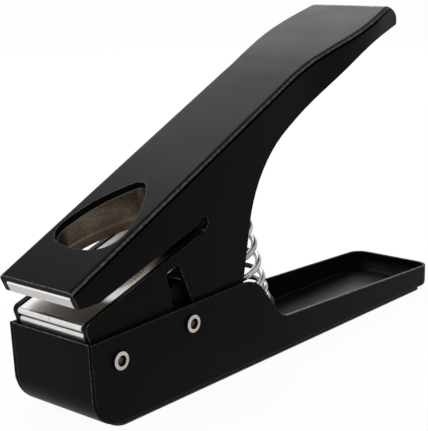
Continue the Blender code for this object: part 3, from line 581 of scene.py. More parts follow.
def rounded(obj, width):
    """Rounds every sharp edge, gives the new faces a share of painted edge highlight by how much they
    face one way, and keeps flats flat.
    """
    bm = bmesh.new()
    bm.from_mesh(obj.data)
    bmesh.ops.remove_doubles(bm, verts=bm.verts, dist=width * MERGE_SHARE)
    bmesh.ops.dissolve_limit(bm, angle_limit=FLAT_ANGLE, verts=bm.verts, edges=bm.edges)
    bmesh.ops.recalc_face_normals(bm, faces=bm.faces)
    edge_light = bm.faces.layers.float.new("worn_edge")
    sharp = [e for e in bm.edges if e.is_manifold and e.calc_face_angle() > SHARP_ANGLE]
    made = bmesh.ops.bevel(
        bm, geom=sharp, offset=width, offset_type="OFFSET", segments=EDGE_SEGMENTS, profile=0.5,
        affect="EDGES", clamp_overlap=False, loop_slide=True, material=-1,
    )
    # Painted highlight: each new edge face gets a share of the lighter edge colour, the more as it
    # faces one way
    for face in made["faces"]:
        face.normal_update()
        face[edge_light] = EDGE_LIGHT_LEAST + (1 - EDGE_LIGHT_LEAST) * max(0, face.normal.dot(EDGE_LIGHT_FACING))
    bm.to_mesh(obj.data)
    bm.free()
    return flats_kept(obj)


def flats_kept(obj):
    """Smooth shading whose normals are led by the large faces."""
    obj.data.shade_smooth()
    modifier = obj.modifiers.new("flats_kept", "WEIGHTED_NORMAL")
    modifier.keep_sharp = True
    return applied(obj)


def marked(obj, chosen):
    """Marks faces as special, by a test or a value of each face's centre and normal."""
    values = obj.data.attributes.new("special", "FLOAT", "FACE")
    for item, face in zip(values.data, obj.data.polygons):
        item.value = float(chosen(face.center, face.normal))
    return obj


def rubbed(obj, share, chosen):
    """Sets the painted edge-highlight share of the faces that a test of centre, normal and present
    share picks.
    """
    for item, face in zip(obj.data.attributes["worn_edge"].data, obj.data.polygons):
        if chosen(face.center, face.normal, item.value):
            item.value = share
    return obj


def rounded_copy(name, node, width):
    """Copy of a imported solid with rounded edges."""
    obj = linked(name, frame["nodes"][node].data.copy())
    obj.data.materials.clear()
    bm = bmesh.new()
    bm.from_mesh(obj.data)
    bmesh.ops.remove_doubles(bm, verts=bm.verts, dist=GAP * MERGE_SHARE)
    bm.to_mesh(obj.data)
    bm.free()
    return rounded(obj, width)


def tail_rounded(half_at, end_y, radius, inset):
    """Inset half width as a function of y, rounded in plan where the sheet ends."""
    radius -= inset
    turn_y = end_y - inset - radius

    def half(y):
        past = min(radius, max(0, y - turn_y))
        return half_at(y) - inset - radius + math.sqrt(max(0, radius ** 2 - past ** 2))

    return half


# Node trees
def add(tree, kind, settings=None, inputs=None):
    """Adds a node with its settings, and sets or links each of its inputs. A node among them
    stands for its first output."""
    made = tree.nodes.new(kind)
    for name, value in (settings or {}).items():
        setattr(made, name, value)
    for name, value in (inputs or {}).items():
        if isinstance(value, bpy.types.Node):
            value = value.outputs[0]
        if isinstance(value, bpy.types.NodeSocket):
            tree.links.new(value, made.inputs[name])
        else:
            made.inputs[name].default_value = value
    return made


def per_mm(size):
    """Texture scale that gives a pattern of about this many millimetres."""
    return 1000 / size


def blank_material(name):
    """Material with an empty node tree."""
    made = bpy.data.materials.new(name)
    made.use_nodes = True
    made.node_tree.nodes.clear()
    return made


def surfaced(made, colour, matt, height, strength, depth, values):
    """Ends a material with its bump and its shader, and hands it back."""
    tree = made.node_tree
    bump = add(tree, "ShaderNodeBump", inputs={
        "Strength": strength, "Distance": depth, "Height": height,
    })
    shader = add(tree, "ShaderNodeBsdfPrincipled", inputs={
        "Base Color": colour.outputs[MIX_RESULT], "Roughness": matt, "Normal": bump, **values,
    })
    add(tree, "ShaderNodeOutputMaterial", inputs={"Surface": shader})
    return made


def powder_coat(name, colour, highlight_colour, fold_shade_colour, roughness, specular):
    """Powder coat on steel: a fine orange peel that scatters the sheen, a painted highlight of
    lighter grey along the edges, and painted shade along the head's folds."""
    made = blank_material(name)
    tree = made.node_tree
    place = add(tree, "ShaderNodeTexCoord").outputs["Object"]
    # The real peel is about 0.5 mm across, drawn at 0.9 mm so that it shows
    peel = add(tree, "ShaderNodeTexNoise", inputs={
        "Vector": place, "Scale": per_mm(PEEL_MM), "Detail": 2.0, "Roughness": 0.5,
    })
    # Handling marks drift over centimetres
    drift = add(tree, "ShaderNodeTexNoise", inputs={
        "Vector": place, "Scale": per_mm(HANDLING_MM), "Detail": 4.0, "Roughness": 0.6,
    })
    matt = add(tree, "ShaderNodeMapRange", inputs={
        "Value": drift, "From Min": 0.3, "From Max": 0.7,
        "To Min": roughness - 0.04, "To Max": roughness + 0.04,
    })
    # Painted highlight: a lighter grey on the edge faces, by their share, broken up by the peel
    edge = add(tree, "ShaderNodeAttribute", {"attribute_name": "worn_edge"})
    speck = add(tree, "ShaderNodeMapRange", inputs={
        "Value": peel, "From Min": 0.40, "From Max": 0.62, "To Min": 0.35,
    })
    share = add(tree, "ShaderNodeMath", {"operation": "MULTIPLY"}, {
        0: edge.outputs["Fac"], 1: speck,
    })
    coat = add(tree, "ShaderNodeMix", {"data_type": "RGBA"}, {
        MIX_FACTOR: share, MIX_A: opaque(colour), MIX_B: opaque(highlight_colour),
    })
    # Along the head's folds a near-black colour with no reflection: a painted dark line of shade
    fold = add(tree, "ShaderNodeAttribute", {"attribute_name": "special"})
    final = add(tree, "ShaderNodeMix", {"data_type": "RGBA"}, {
        MIX_FACTOR: fold.outputs["Fac"], MIX_A: coat.outputs[MIX_RESULT], MIX_B: opaque(fold_shade_colour),
    })
    sheen = add(tree, "ShaderNodeMapRange", inputs={
        "Value": fold.outputs["Fac"], "To Min": specular, "To Max": 0.0,
    })
    return surfaced(made, final, matt, peel, PEEL_STRENGTH, PEEL_DEPTH, {
        "IOR": PLASTIC_IOR, "Specular IOR Level": sheen,
    })


def ground_metal(name, colour, shade, edge_light, special, roughness, run, lay_mm):
    """Ground or rolled metal: streaks along one axis, a slow change of tone, another colour on
    the edges by how much they face one way, and another colour on the faces marked as special,
    which those marked by one half take on only toward the rear."""
    made = blank_material(name)
    tree = made.node_tree
    place = add(tree, "ShaderNodeTexCoord").outputs["Object"]
    along = Vector((1, 1, 1))
    along[run] = LAY_STRETCH
    stretched = add(tree, "ShaderNodeMapping", inputs={"Vector": place, "Scale": along})
    lay = add(tree, "ShaderNodeTexNoise", inputs={
        "Vector": stretched, "Scale": per_mm(lay_mm), "Detail": 3.0, "Roughness": 0.6,
    })
    drift = add(tree, "ShaderNodeTexNoise", inputs={
        "Vector": place, "Scale": per_mm(PLATING_MM), "Detail": 4.0, "Roughness": 0.6,
    })
    tone = add(tree, "ShaderNodeMapRange", inputs={
        "Value": drift, "From Min": 0.35, "From Max": 0.65,
    })
    body = add(tree, "ShaderNodeMix", {"data_type": "RGBA"}, {
        MIX_FACTOR: tone, MIX_A: opaque(colour), MIX_B: opaque(shade),
    })
    edge = add(tree, "ShaderNodeAttribute", {"attribute_name": "worn_edge"})
    bright = add(tree, "ShaderNodeMix", {"data_type": "RGBA"}, {
        MIX_FACTOR: edge.outputs["Fac"], MIX_A: body.outputs[MIX_RESULT], MIX_B: opaque(edge_light),
    })
    # The special colour is painted light: shade on the plates, the spring and the pins' sockets, and
    # a highlight on the die's front
    chosen = add(tree, "ShaderNodeAttribute", {"attribute_name": "special"})
    parts = add(tree, "ShaderNodeSeparateXYZ", inputs={"Vector": place})
    rearward = add(tree, "ShaderNodeMapRange", inputs={
        "Value": parts.outputs["Y"],
        "From Min": REAR_RAMP_START, "From Max": REAR_RAMP_END, "To Min": REAR_RAMP_LEAST - 1, "To Max": 0.0,
    })
    marked_share = add(tree, "ShaderNodeMath", {"operation": "MULTIPLY_ADD", "use_clamp": True}, {
        0: chosen.outputs["Fac"], 1: 1 / PLATE_TOP_SHADE, 2: rearward,
    })
    final = add(tree, "ShaderNodeMix", {"data_type": "RGBA"}, {
        MIX_FACTOR: marked_share, MIX_A: bright.outputs[MIX_RESULT], MIX_B: opaque(special),
    })
    matt = add(tree, "ShaderNodeMapRange", inputs={
        "Value": lay, "From Min": 0.3, "From Max": 0.7,
        "To Min": roughness - 0.06, "To Max": roughness + 0.08,
    })
    return surfaced(made, final, matt, lay, LAY_STRENGTH, LAY_DEPTH, {"Metallic": 1.0})


def moulded(name, colour, shade, roughness, grain_mm, depth, specular):
    """Moulded nylon or sheet rubber: a fine grain and a slow change of tone."""
    made = blank_material(name)
    tree = made.node_tree
    place = add(tree, "ShaderNodeTexCoord").outputs["Object"]
    grain = add(tree, "ShaderNodeTexNoise", inputs={
        "Vector": place, "Scale": per_mm(grain_mm), "Detail": 3.0, "Roughness": 0.6,
    })
    drift = add(tree, "ShaderNodeTexNoise", inputs={
        "Vector": place, "Scale": per_mm(MOULDING_MM),
    })
    tint = add(tree, "ShaderNodeMix", {"data_type": "RGBA"}, {
        MIX_FACTOR: drift, MIX_A: opaque(colour), MIX_B: opaque(shade),
    })
    matt = add(tree, "ShaderNodeMapRange", inputs={
        "Value": grain, "To Min": roughness - 0.08, "To Max": roughness + 0.08,
    })
    return surfaced(made, tint, matt, grain, GRAIN_STRENGTH, depth, {
        "IOR": PLASTIC_IOR, "Specular IOR Level": specular,
    })


# Each finish: its slot, the function that makes it, its material's name, the looks it takes,
# and its numbers. For a metal these are roughness, the axis of its lay and the lay's width in
# millimetres. For a moulding they are roughness, grain in millimetres, its depth and specular.
FINISHES = {
    # Baked powder: even black with a soft sheen and a faint orange peel
    "coat": (
        "black_steel", powder_coat, "semi_gloss_black_powder_coat",
        ("coat", "coat_edge", "coat_fold", "coat_roughness", "coat_specular"), (),
    ),
    # Bright zinc plate on rolled strip: cool, faintly streaked along the tool
    "zinc": (
        "zinc", ground_metal, "bright_zinc_plate",
        ("zinc", "zinc_shade", "zinc", "zinc_dirty"), (0.34, 0, 0.3),
    ),
    # Nickel plate on ground tool steel: warm and brownish, ground across the block
    "die": (
        "die_nickel", ground_metal, "nickel_plated_die_steel",
        ("die", "die_shade", "die_edge", "die_front"), (0.27, 0, 0.5),
    ),
    # Chrome plate on drawn spring wire: a hard bright line on each coil
    "chrome": (
        "spring_chrome", ground_metal, "chrome_plated_spring_wire",
        ("chrome", "chrome_shade", "chrome", "chrome_dull"), (0.16, 1, 0.6),
    ),
    # Bright nickel on turned steel: warm grey, turned round the pin
    "pin": (
        "pin_nickel", ground_metal, "bright_nickel_pin",
        ("pin", "pin_shade", "pin", "pin_recess"), (0.22, 0, 0.4),
    ),
    # Undyed nylon from a mould: milky, with a waxy sheen
    "nylon": (
        "nylon", moulded, "natural_nylon",
        ("nylon", "nylon_shade"), (0.48, 0.6, 0.00002, 0.5),
    ),
    # Black nylon from a mould: nearly no reflection, so it stays dark inside the head
    "black_nylon": (
        "black_nylon", moulded, "black_moulded_nylon",
        ("black_nylon", "coat"), (0.5, 0.6, 0.00003, 0.05),
    ),
    # Calendered rubber: dull and greyish black
    "pad": (
        "pad", moulded, "black_rubber_sheet",
        ("pad", "pad_shade"), (0.72, 0.5, 0.00005, 0.5),
    ),
}
MADE = {}


def finish(look):
    """The material of one finish, made when it is first asked for."""
    if look not in MADE:
        slot, maker, name, settings, numbers = FINISHES[look]
        looks = bpy.context.scene.punch_looks
        MADE[look] = maker(name, *[getattr(looks, item) for item in settings], *numbers)
    return MADE[look]


def dress(obj, look, body, *nodes):
    """Gives a piece its finish and its place in the assembly."""
    obj.data.materials.clear()
    obj.data.materials.append(finish(look))
    if body is not None:
        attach(obj, body)
    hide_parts(*nodes)


# Base
def base_corners():
    """Corners of the tub's underside line, from the front wall's top round to the rear wall's."""
    rake = Vector((FRONT_RAKE, FLOOR_UNDER - FRONT_HEIGHT)).normalized()
    start = Vector((0, FRONT_HEIGHT)) - rake * (CREST_HEIGHT - FRONT_HEIGHT + OVERRUN)
    return [
        (start, 0),
        ((FRONT_RAKE, FLOOR_UNDER), FRONT_ROUND),
        ((BASE_LENGTH, FLOOR_UNDER), REAR_ROUND),
        ((BASE_LENGTH, CREST_HEIGHT), 0),
    ]


def seam_cutter(side):
    """Groove between the front panel and one side wall, down the front and round its foot."""
    corners = base_corners()[:2] + [((SEAM_RUN, FLOOR_UNDER), 0)]
    outer = filleted(offset_corners(corners, OVERRUN), False)
    inner = filleted(offset_corners(corners, -SEAM_DEPTH), False)
    near = side * (BASE_WIDTH / 2 - SEAM_INSET)
    far = side * (BASE_WIDTH / 2 - SEAM_INSET - SEAM_WIDTH)
    return side_prism(outer + inner[::-1], far, near)


def base_tub(edge):
    """Folded tub with its rim line, pin holes, front seams and rounded nose and tail."""
    corners = base_corners()
    # The tub's inside lies to the left of the path, so the inset is negative
    inside = offset_corners(corners, -BASE_WALL)
    outer, inner = [filleted(line, False)[:-1] for line in (corners, inside)]
    half, inner_half = [
        tail_rounded(lambda y: BASE_WIDTH / 2, BASE_LENGTH, REAR_PLAN_ROUND, inset)
        for inset in (0, BASE_WALL)
    ]
    high = CREST_HEIGHT * 2
    tub = channel_solid(outer, half, high, BASE_FOLD, "tub_sheet")
    combine(tub, channel_solid(inner, inner_half, high + OVERRUN, BASE_FOLD / 2))
    rim = [
        ((-OVERRUN, FRONT_HEIGHT), 0),
        ((CREST_Y, CREST_HEIGHT), CREST_ROUND),
        ((TRAY_Y, TRAY_HEIGHT), TRAY_ROUND),
        ((BASE_LENGTH + OVERRUN, TRAY_END_HEIGHT), 0),
        ((BASE_LENGTH + OVERRUN, -OVERRUN), 0),
        ((-OVERRUN, -OVERRUN), 0),
    ]
    combine(tub, side_prism(filleted(rim)), "INTERSECT")
    for point in (PIVOT, DRIVE):
        bore(tub, point, PIN_RADIUS + GAP)
    for side in (-1, 1):
        combine(tub, seam_cutter(side))
    rounded(tub, edge)
    tray_start = TRAY_Y - ORIGIN_Y

    # Painted highlight: the near side's upward-facing rim edges along the tray take the full edge
    # highlight
    def near_rim(centre, normal, lit_share):
        return lit_share > 0 and centre.x > 0 and centre.y > tray_start and normal.z > RIM_UPWARD

    return rubbed(tub, RIM_HIGHLIGHT, near_rim)


# Head
def top_corners():
    """Corners of the head's top line, from ahead of the nose to the curled tip."""
    grip = Vector((math.cos(GRIP_ANGLE), math.sin(GRIP_ANGLE)))
    start = top_point(-NOSE_DEPTH, 0)
    bend = crossing(NOSE, TOP_ALONG, Vector((TOP_BEND_Y, 0)), Vector((0, 1)))
    tip = crossing(bend, grip, Vector((TIP_Y, 0)), Vector((0, 1)))
    return [
        (start, 0),
        (bend, TOP_BEND_ROUND),
        (tip, TIP_ROUND),
        (tip - Vector((0, TIP_ROUND * 2)), 0),
    ]


def below_top(y, depth):
    """Place at a given depth straight below the head's unrounded top line."""
    _, bend, tip, _ = [corner for corner, _ in top_corners()]
    start = NOSE if y < bend.x else tip
    share = (y - start.x) / (bend.x - start.x)
    return start.lerp(bend, share) - Vector((0, depth))


def head_half(y):
    """Half width of the head before its tip's corners: parallel, then flared for the hand."""
    part = min(1, max(0, 1 - (TIP_Y + FLARE_PAST_TIP - y) / FLARE_LENGTH))
    return HEAD_WIDTH / 2 + FLARE_EXTRA * math.sin(math.pi * part) ** 2


def head_outline():
    """Side outline of the head's walls, with the card slot open to the front."""
    jaw_top = card_point(JAW_FRONT, -JAW_DROP)
    toe = crossing(jaw_top, CARD_UP, Vector((0, TOE_Z)), Vector((1, 0)))
    nose_foot = top_point(0, NOSE_DEPTH)
    slot_top = card_point(0, SLOT_HEIGHT)
    kink = crossing(nose_foot, Vector((1, 0)), slot_top, CARD_ALONG)
    tip = top_corners()[2][0]
    return filleted([
        (top_point(0, -NOSE_DEPTH), 0),
        (tip + Vector((OVERRUN, NOSE.y)), 0),
        (below_top(TIP_Y, LIP_DEPTH) + Vector((OVERRUN, 0)), 0),
        (below_top(GRIP_UNDER_Y, GRIP_DEPTH), GRIP_UNDER_ROUND),
        (below_top(THROAT_Y, THROAT_DEPTH), THROAT_ROUND),
        ((HEEL_Y, HEEL_Z), HEEL_ROUND),
        (toe, TOE_ROUND),
        (jaw_top, JAW_ROUND),
        (card_point(SLOT_LENGTH, -JAW_DROP), 0),
        (card_point(SLOT_LENGTH, SLOT_HEIGHT), 0),
        (kink, 0),
        (nose_foot, 0),
    ])


def notch_outline():
    """Side outline of the tapered notch that the drive pin travels in."""
    along, up = card_place(DRIVE)
    foot = up - PIN_RADIUS - BUSH_WALL - GAP * 2
    return filleted([
        (card_point(along - NOTCH_TOP_WIDTH / 2, -NOTCH_TOP), NOTCH_ROUND),
        (card_point(along + NOTCH_TOP_WIDTH / 2, -NOTCH_TOP), NOTCH_ROUND),
        (card_point(along + NOTCH_FOOT_WIDTH / 2, foot), NOTCH_ROUND),
        (card_point(along - NOTCH_FOOT_WIDTH / 2, foot), NOTCH_ROUND),
    ])


def head_sheet(edge):
    """Folded channel: lever, upper jaw and lower jaw in one sheet."""
    corners = top_corners()
    inside = offset_corners(corners, HEAD_SHEET)
    inside[0] = (inside[0][0] - TOP_ALONG * OVERRUN, 0)
    outer, inner = [stations(filleted(line, False)[:-1]) for line in (corners, inside)]
    half, inner_half = [
        tail_rounded(head_half, TIP_Y, TIP_PLAN_ROUND, inset) for inset in (0, HEAD_SHEET)
    ]
    shell = channel_solid(outer, half, -OVERRUN, HEAD_FOLD, "head_sheet")
    combine(shell, channel_solid(inner, inner_half, -OVERRUN * 2, HEAD_FOLD - HEAD_SHEET))
    combine(shell, side_prism(head_outline()), "INTERSECT")
    combine(shell, card_prism(pick_outline(CHUTE_MARGIN, CHUTE_TIP_EXTRA), DIE_ABOVE_CARD))
    combine(shell, side_prism(notch_outline()))
    bore(shell, card_point(SLOT_LENGTH, SLOT_RELIEF_LIFT), SLOT_RELIEF_RADIUS)
    bore(shell, PIVOT, PIN_RADIUS + GAP)
    rounded(shell, edge)
    upward = world(0, TOP_UP) - world(0, (0, 0))
    nose_end = world(0, NOSE).y + NOSE_HIGHLIGHT_RUN

    # Painted highlight: the fold's upper faces take a lighter line
    def worn_fold(centre, normal, lit_share):
        folded = FOLD_HIGHLIGHT_START < normal.x < FOLD_HIGHLIGHT_END
        return lit_share == 0 and folded and normal.dot(upward) > FOLD_UPWARD

    # Painted highlight: the nose's front top edge
    def nose_edge(centre, normal, lit_share):
        forward = normal.z > NOSE_UPWARD and normal.y < NOSE_FORWARD
        return lit_share > 0 and centre.y < nose_end and forward

    # Painted shade: a dark line along the fold's lower faces
    def dull_fold(centre, normal):
        outside = abs(centre.x) > HEAD_WIDTH / 2 - HEAD_FOLD
        folded = FOLD_HIGHLIGHT_END < abs(normal.x) < FOLD_SHADE_END
        return outside and folded and normal.dot(upward) > FOLD_UPWARD

    rubbed(shell, FOLD_HIGHLIGHT, worn_fold)
    rubbed(shell, NOSE_HIGHLIGHT, nose_edge)
    return marked(shell, dull_fold)


# Die block and guide plates
def die_block(edge):
    """Wedge between the card slot and the top sheet, with the pick-shaped hole right through."""
    half = HEAD_INSIDE - GAP
    nose_top = top_point(0, HEAD_SHEET + GAP)
    nose_foot = top_point(0, NOSE_DEPTH)
    kink = crossing(nose_foot, Vector((1, 0)), card_point(0, DIE_ABOVE_CARD), CARD_ALONG)
    rear_foot = card_point(DIE_LENGTH, DIE_ABOVE_CARD)
    rear_top = crossing(rear_foot, CARD_UP, nose_top, TOP_ALONG)
    corners = [(point, 0) for point in (rear_top, rear_foot, kink, nose_foot)]
    outline = filleted(corners + [(nose_top, DIE_FRONT_ROUND)])
    block = side_prism(outline, -half, half, "die_block_ground")
    chute = pick_outline(CHUTE_MARGIN, CHUTE_TIP_EXTRA)
    combine(block, card_prism(pick_outline(0), -OVERRUN))
    combine(block, card_prism(chute, DIE_ABOVE_CARD + DIE_LAND))
    rounded(block, edge)
    front_end = world(0, nose_foot).y + FRONT_BAND

    # Painted highlight on the front band, weaker on faces that turn down
    def front(centre, normal):
        if centre.y > front_end:
            return 0
        return 1 if normal.z > FRONT_TURN else FRONT_SHARE

    return marked(block, front)


def guide_plate(name, high, marked_front, edge):
    """One guide plate with a rounded front: the upper one has a centre mark, the lower a lip."""
    half = HEAD_INSIDE - GAP
    low = high - PLATE_THICK
    nose = PLATE_THICK * PLATE_NOSE_SHARE
    corners = [
        (card_point(JAW_FRONT, high), nose),
        (card_point(PLATE_LENGTH, high), 0),
        (card_point(PLATE_LENGTH, low), 0),
    ]
    if marked_front:
        corners.append((card_point(JAW_FRONT, low), nose))
    else:
        corners.append((card_point(JAW_FRONT + LIP_RUN, low), 0))
        corners.append((card_point(JAW_FRONT + LIP_RUN, -LIP_BELOW_CARD), nose))
        corners.append((card_point(JAW_FRONT, -LIP_BELOW_CARD), nose))
    plate = side_prism(filleted(corners), -half, half, name)
    cuts = [pick_outline(0)]
    if marked_front:
        ahead = JAW_FRONT - OVERRUN
        cuts.append([
            (-PLATE_MARK / 2, ahead), (PLATE_MARK / 2, ahead), (0, JAW_FRONT + PLATE_MARK),
        ])
    for outline in cuts:
        combine(plate, card_prism(outline, low - OVERRUN, high + OVERRUN))
    rounded(plate, edge)
    shaded = world(0, card_point(PICK_END + DIE_REAR_WALL, 0)).y

    # Painted shade: undersides and the part inside the head are dark, tops half so, rising toward the
    # rear
    def soil(centre, normal):
        if centre.y > shaded or normal.z < -LEVEL:
            return 1
        return PLATE_TOP_SHADE if normal.z > LEVEL else 0

    return marked(plate, soil)


# Geometry Nodes
SOCKETS = {
    float: "NodeSocketFloat",
    int: "NodeSocketInt",
    bpy.types.Object: "NodeSocketObject",
    bpy.types.Material: "NodeSocketMaterial",
}


def node_group(name, values):
    """Empty geometry tree with a named input for each value, and the inputs' outputs."""
    tree = bpy.data.node_groups.new(name, "GeometryNodeTree")
    tree.interface.new_socket("Geometry", in_out="INPUT", socket_type="NodeSocketGeometry")
    for label, value in values.items():
        made = tree.interface.new_socket(label, in_out="INPUT", socket_type=SOCKETS[type(value)])
        if type(value) in (float, int):
            made.default_value = value
    tree.interface.new_socket("Geometry", in_out="OUTPUT", socket_type="NodeSocketGeometry")
    return tree, tree.nodes.new("NodeGroupInput").outputs


def run_tree(obj, tree, geometry, material, values):
    """Ends a tree in plain geometry with a finish, runs it on an object with its inputs set,
    and keeps the plain mesh."""
    real = add(tree, "GeometryNodeRealizeInstances", inputs={"Geometry": geometry})
    painted = add(tree, "GeometryNodeSetMaterial", inputs={
        "Geometry": real, "Material": material,
    })
    add(tree, "NodeGroupOutput", inputs={"Geometry": painted})
    modifier = obj.modifiers.new(tree.name, "NODES")
    modifier.node_group = tree
    for item in tree.interface.items_tree:
        if item.in_out == "INPUT" and item.name in values:
            modifier[item.identifier] = values[item.name]
    return applied(obj)


def repeated(name, piece, places, look):
    """One mesh with a copy of a piece, made about X, at each (place, direction)."""
    mesh = bpy.data.meshes.new(name)
    mesh.from_pydata([place for place, _ in places], [], [])
    turns = mesh.attributes.new("turn", "FLOAT_VECTOR", "POINT")
    for item, (_, direction) in zip(turns.data, places):
        item.vector = Vector((1, 0, 0)).rotation_difference(direction).to_euler()
    values = {"Fastener": piece, "Size": 1.0, "Finish": finish(look)}
    tree, given = node_group("fastener_at_points", values)
    source = add(tree, "GeometryNodeObjectInfo", inputs={"Object": given["Fastener"]})
    turn = add(tree, "GeometryNodeInputNamedAttribute", {"data_type": "FLOAT_VECTOR"}, {
        "Name": "turn",
    })
    spin = add(tree, "FunctionNodeEulerToRotation", inputs={"Euler": turn})
    copies = add(tree, "GeometryNodeInstanceOnPoints", inputs={
        "Points": given["Geometry"],
        "Instance": source.outputs["Geometry"],
        "Rotation": spin,
        "Scale": given["Size"],
    })
    obj = linked(name, mesh)
    run_tree(obj, tree, copies, given["Finish"], values)
    remove(piece)
    return flats_kept(obj)


def wound_wire(obj, values):
    """Winds a wire round Z on an object: close end turns, and open turns between them."""
    tree, given = node_group("wound_spring", values)
    found = {label: given[label] for label in values}
    found["along"] = add(tree, "GeometryNodeSplineParameter").outputs["Factor"]
    for result, operation, *terms in (
        ("room", "SUBTRACT", "Height", "Wire"),
        ("end rise", "MULTIPLY", "Close turns", "Close pitch"),
        ("both end rises", "MULTIPLY", "end rise", 2.0),
        ("open rise", "SUBTRACT", "room", "both end rises"),
        ("open turns", "DIVIDE", "open rise", "Open pitch"),
        ("end turns", "MULTIPLY", "Close turns", 2.0),
        ("turns", "ADD", "open turns", "end turns"),
        ("points", "MULTIPLY", "turns", "Points a turn"),
        ("turn", "MULTIPLY", "along", "turns"),
        ("low turns", "MINIMUM", "turn", "Close turns"),
        ("past low", "SUBTRACT", "turn", "Close turns"),
        ("above low", "MAXIMUM", "past low", 0.0),
        ("middle turns", "MINIMUM", "above low", "open turns"),
        ("high turns", "SUBTRACT", "above low", "middle turns"),
        ("close turns so far", "ADD", "low turns", "high turns"),
        ("close climb", "MULTIPLY", "close turns so far", "Close pitch"),
        ("open climb", "MULTIPLY", "middle turns", "Open pitch"),
        ("climb", "ADD", "close climb", "open climb"),
        ("wire radius", "MULTIPLY", "Wire", 0.5),
        ("z", "ADD", "climb", "wire radius"),
        ("angle", "MULTIPLY", "turn", math.tau),
        ("cosine", "COSINE", "angle"),
        ("sine", "SINE", "angle"),
        ("x", "MULTIPLY", "cosine", "Radius"),
        ("y", "MULTIPLY", "sine", "Radius"),
    ):
        inputs = {index: found.get(term, term) for index, term in enumerate(terms)}
        found[result] = add(tree, "ShaderNodeMath", {"operation": operation}, inputs)
    line = add(tree, "GeometryNodeCurvePrimitiveLine")
    points = add(tree, "GeometryNodeResampleCurve", inputs={
        "Curve": line, "Count": found["points"],
    })
    spot = add(tree, "ShaderNodeCombineXYZ", inputs={
        "X": found["x"], "Y": found["y"], "Z": found["z"],
    })
    helix = add(tree, "GeometryNodeSetPosition", inputs={
        "Geometry": points, "Position": spot,
    })
    section = add(tree, "GeometryNodeCurvePrimitiveCircle", inputs={
        "Resolution": given["Wire sides"], "Radius": found["wire radius"],
    })
    wire = add(tree, "GeometryNodeCurveToMesh", inputs={
        "Curve": helix, "Profile Curve": section, "Fill Caps": True,
    })
    return run_tree(obj, tree, wire, given["Finish"], values)


# Pins and fasteners
def box_centre(node):
    """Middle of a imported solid's box."""
    places = [vert.co for vert in frame["nodes"][node].data.vertices]
    low = Vector([min(place[axis] for place in places) for axis in range(3)])
    high = Vector([max(place[axis] for place in places) for axis in range(3)])
    return (low + high) / 2


def fasteners(name, nodes, edge, look):
    """One mesh of like fasteners that stand square to the card, each where its solid is."""
    upright = Vector((0, CARD_UP.x, CARD_UP.y))
    laid = upright.rotation_difference(Vector((1, 0, 0))).to_matrix().to_4x4()
    centres = [box_centre(node) for node in nodes]
    first = rounded_copy("fastener", nodes[0], edge)
    placed(first, laid @ Matrix.Translation(-centres[0]))
    return repeated(name, first, [(centre, upright) for centre in centres], look)


def pin_end(sizes):
    """Flanged pin end with a rounded rim and a chamfered six-sided socket, facing +X from its
    wall face at the origin, with a short shank behind."""
    crown = sizes.flange_thick
    radius = sizes.flange_radius
    soft = crown * PIN_SOFT_SHARE
    shank = -BASE_WALL - HEAD_SHEET
    profile = [(shank, 0), (shank, PIN_RADIUS), (0, PIN_RADIUS)]
    profile.append((0, radius - soft * PIN_FOOT_SHARE))
    for step in range(PIN_ROUND_STEPS + 1):
        angle = math.pi / 2 * step / PIN_ROUND_STEPS
        out = crown - soft + soft * math.sin(angle)
        profile.append((out, radius - soft + soft * math.cos(angle)))
    mouth = sizes.socket_flats / math.sqrt(3)
    recess = crown - sizes.recess_depth
    profile += [(crown, mouth + sizes.recess_depth), (recess, mouth), (recess, 0)]
    end = turned(profile)
    ring = []
    for side in range(SOCKET_SIDES):
        angle = math.tau * side / SOCKET_SIDES
        ring.append((0, mouth * math.cos(angle), mouth * math.sin(angle)))
    socket = extruded(ring, Vector((sizes.socket_depth + OVERRUN, 0, 0)))
    combine(end, placed(socket, Matrix.Translation((crown - sizes.socket_depth, 0, 0))))
    # Painted shade: the socket's walls and floor take a dark brown
    floor = crown - sizes.socket_depth * SOCKET_SEEN_SHARE
    return marked(end, lambda centre, normal: centre.x > floor and centre.yz.length < mouth)


# Spring and seats
def spring_height():
    """Length between the two seats' faces, along the spring's axis."""
    under = top_point(0, HEAD_SHEET + GAP)
    meets = crossing(SPRING_FOOT, SPRING_UP, under, TOP_ALONG)
    tilt = abs(TOP_ANGLE - SPRING_LEAN)
    return (meets - SPRING_FOOT).length - SEAT_RADIUS * math.tan(tilt) - SEAT_FLANGE


def spring_frame():
    """Matrix from upright at the origin to the spring's leaning axis."""
    across = Vector((1, 0, 0))
    rise = Vector((0, SPRING_UP.x, SPRING_UP.y))
    turn = Matrix((across, rise.cross(across), rise)).transposed().to_4x4()
    return Matrix.Translation(world(0, SPRING_FOOT)) @ turn


def spring_seat(name, back, face, boss_end, room, edge):
    """Round seat on the spring's axis, with a flange from back to face and a boss beyond, cut
    to the side-view room that it fits in."""
    seat = turned([
        (back, 0), (back, SEAT_RADIUS), (face, SEAT_RADIUS),
        (face, SEAT_BOSS_RADIUS), (boss_end, SEAT_BOSS_RADIUS), (boss_end, 0),
    ], name)
    upright = Vector((1, 0, 0)).rotation_difference(Vector((0, 0, 1))).to_matrix().to_4x4()
    placed(seat, spring_frame() @ upright)
    combine(seat, side_prism(room), "INTERSECT")
    return rounded(seat, edge)


# Settings
def colour_setting(label, text, default):
    """Colour property from an sRGB hex value."""
    return bpy.props.FloatVectorProperty(
        name=label, description=text, default=linear(default), subtype="COLOR", min=0, max=1
    )


def length_setting(label, text, default):
    """Length property in metres."""
    return bpy.props.FloatProperty(
        name=label, description=text, default=default, min=0, precision=5, unit="LENGTH"
    )


def share_setting(label, text, default, most=1):
    """Property that holds a share."""
    return bpy.props.FloatProperty(
        name=label, description=text, default=default, min=0, max=most, subtype="FACTOR"
    )


def power_setting(label, text, default):
    """Power property in watts."""
    return bpy.props.FloatProperty(
        name=label, description=text, default=default, min=0, unit="POWER"
    )


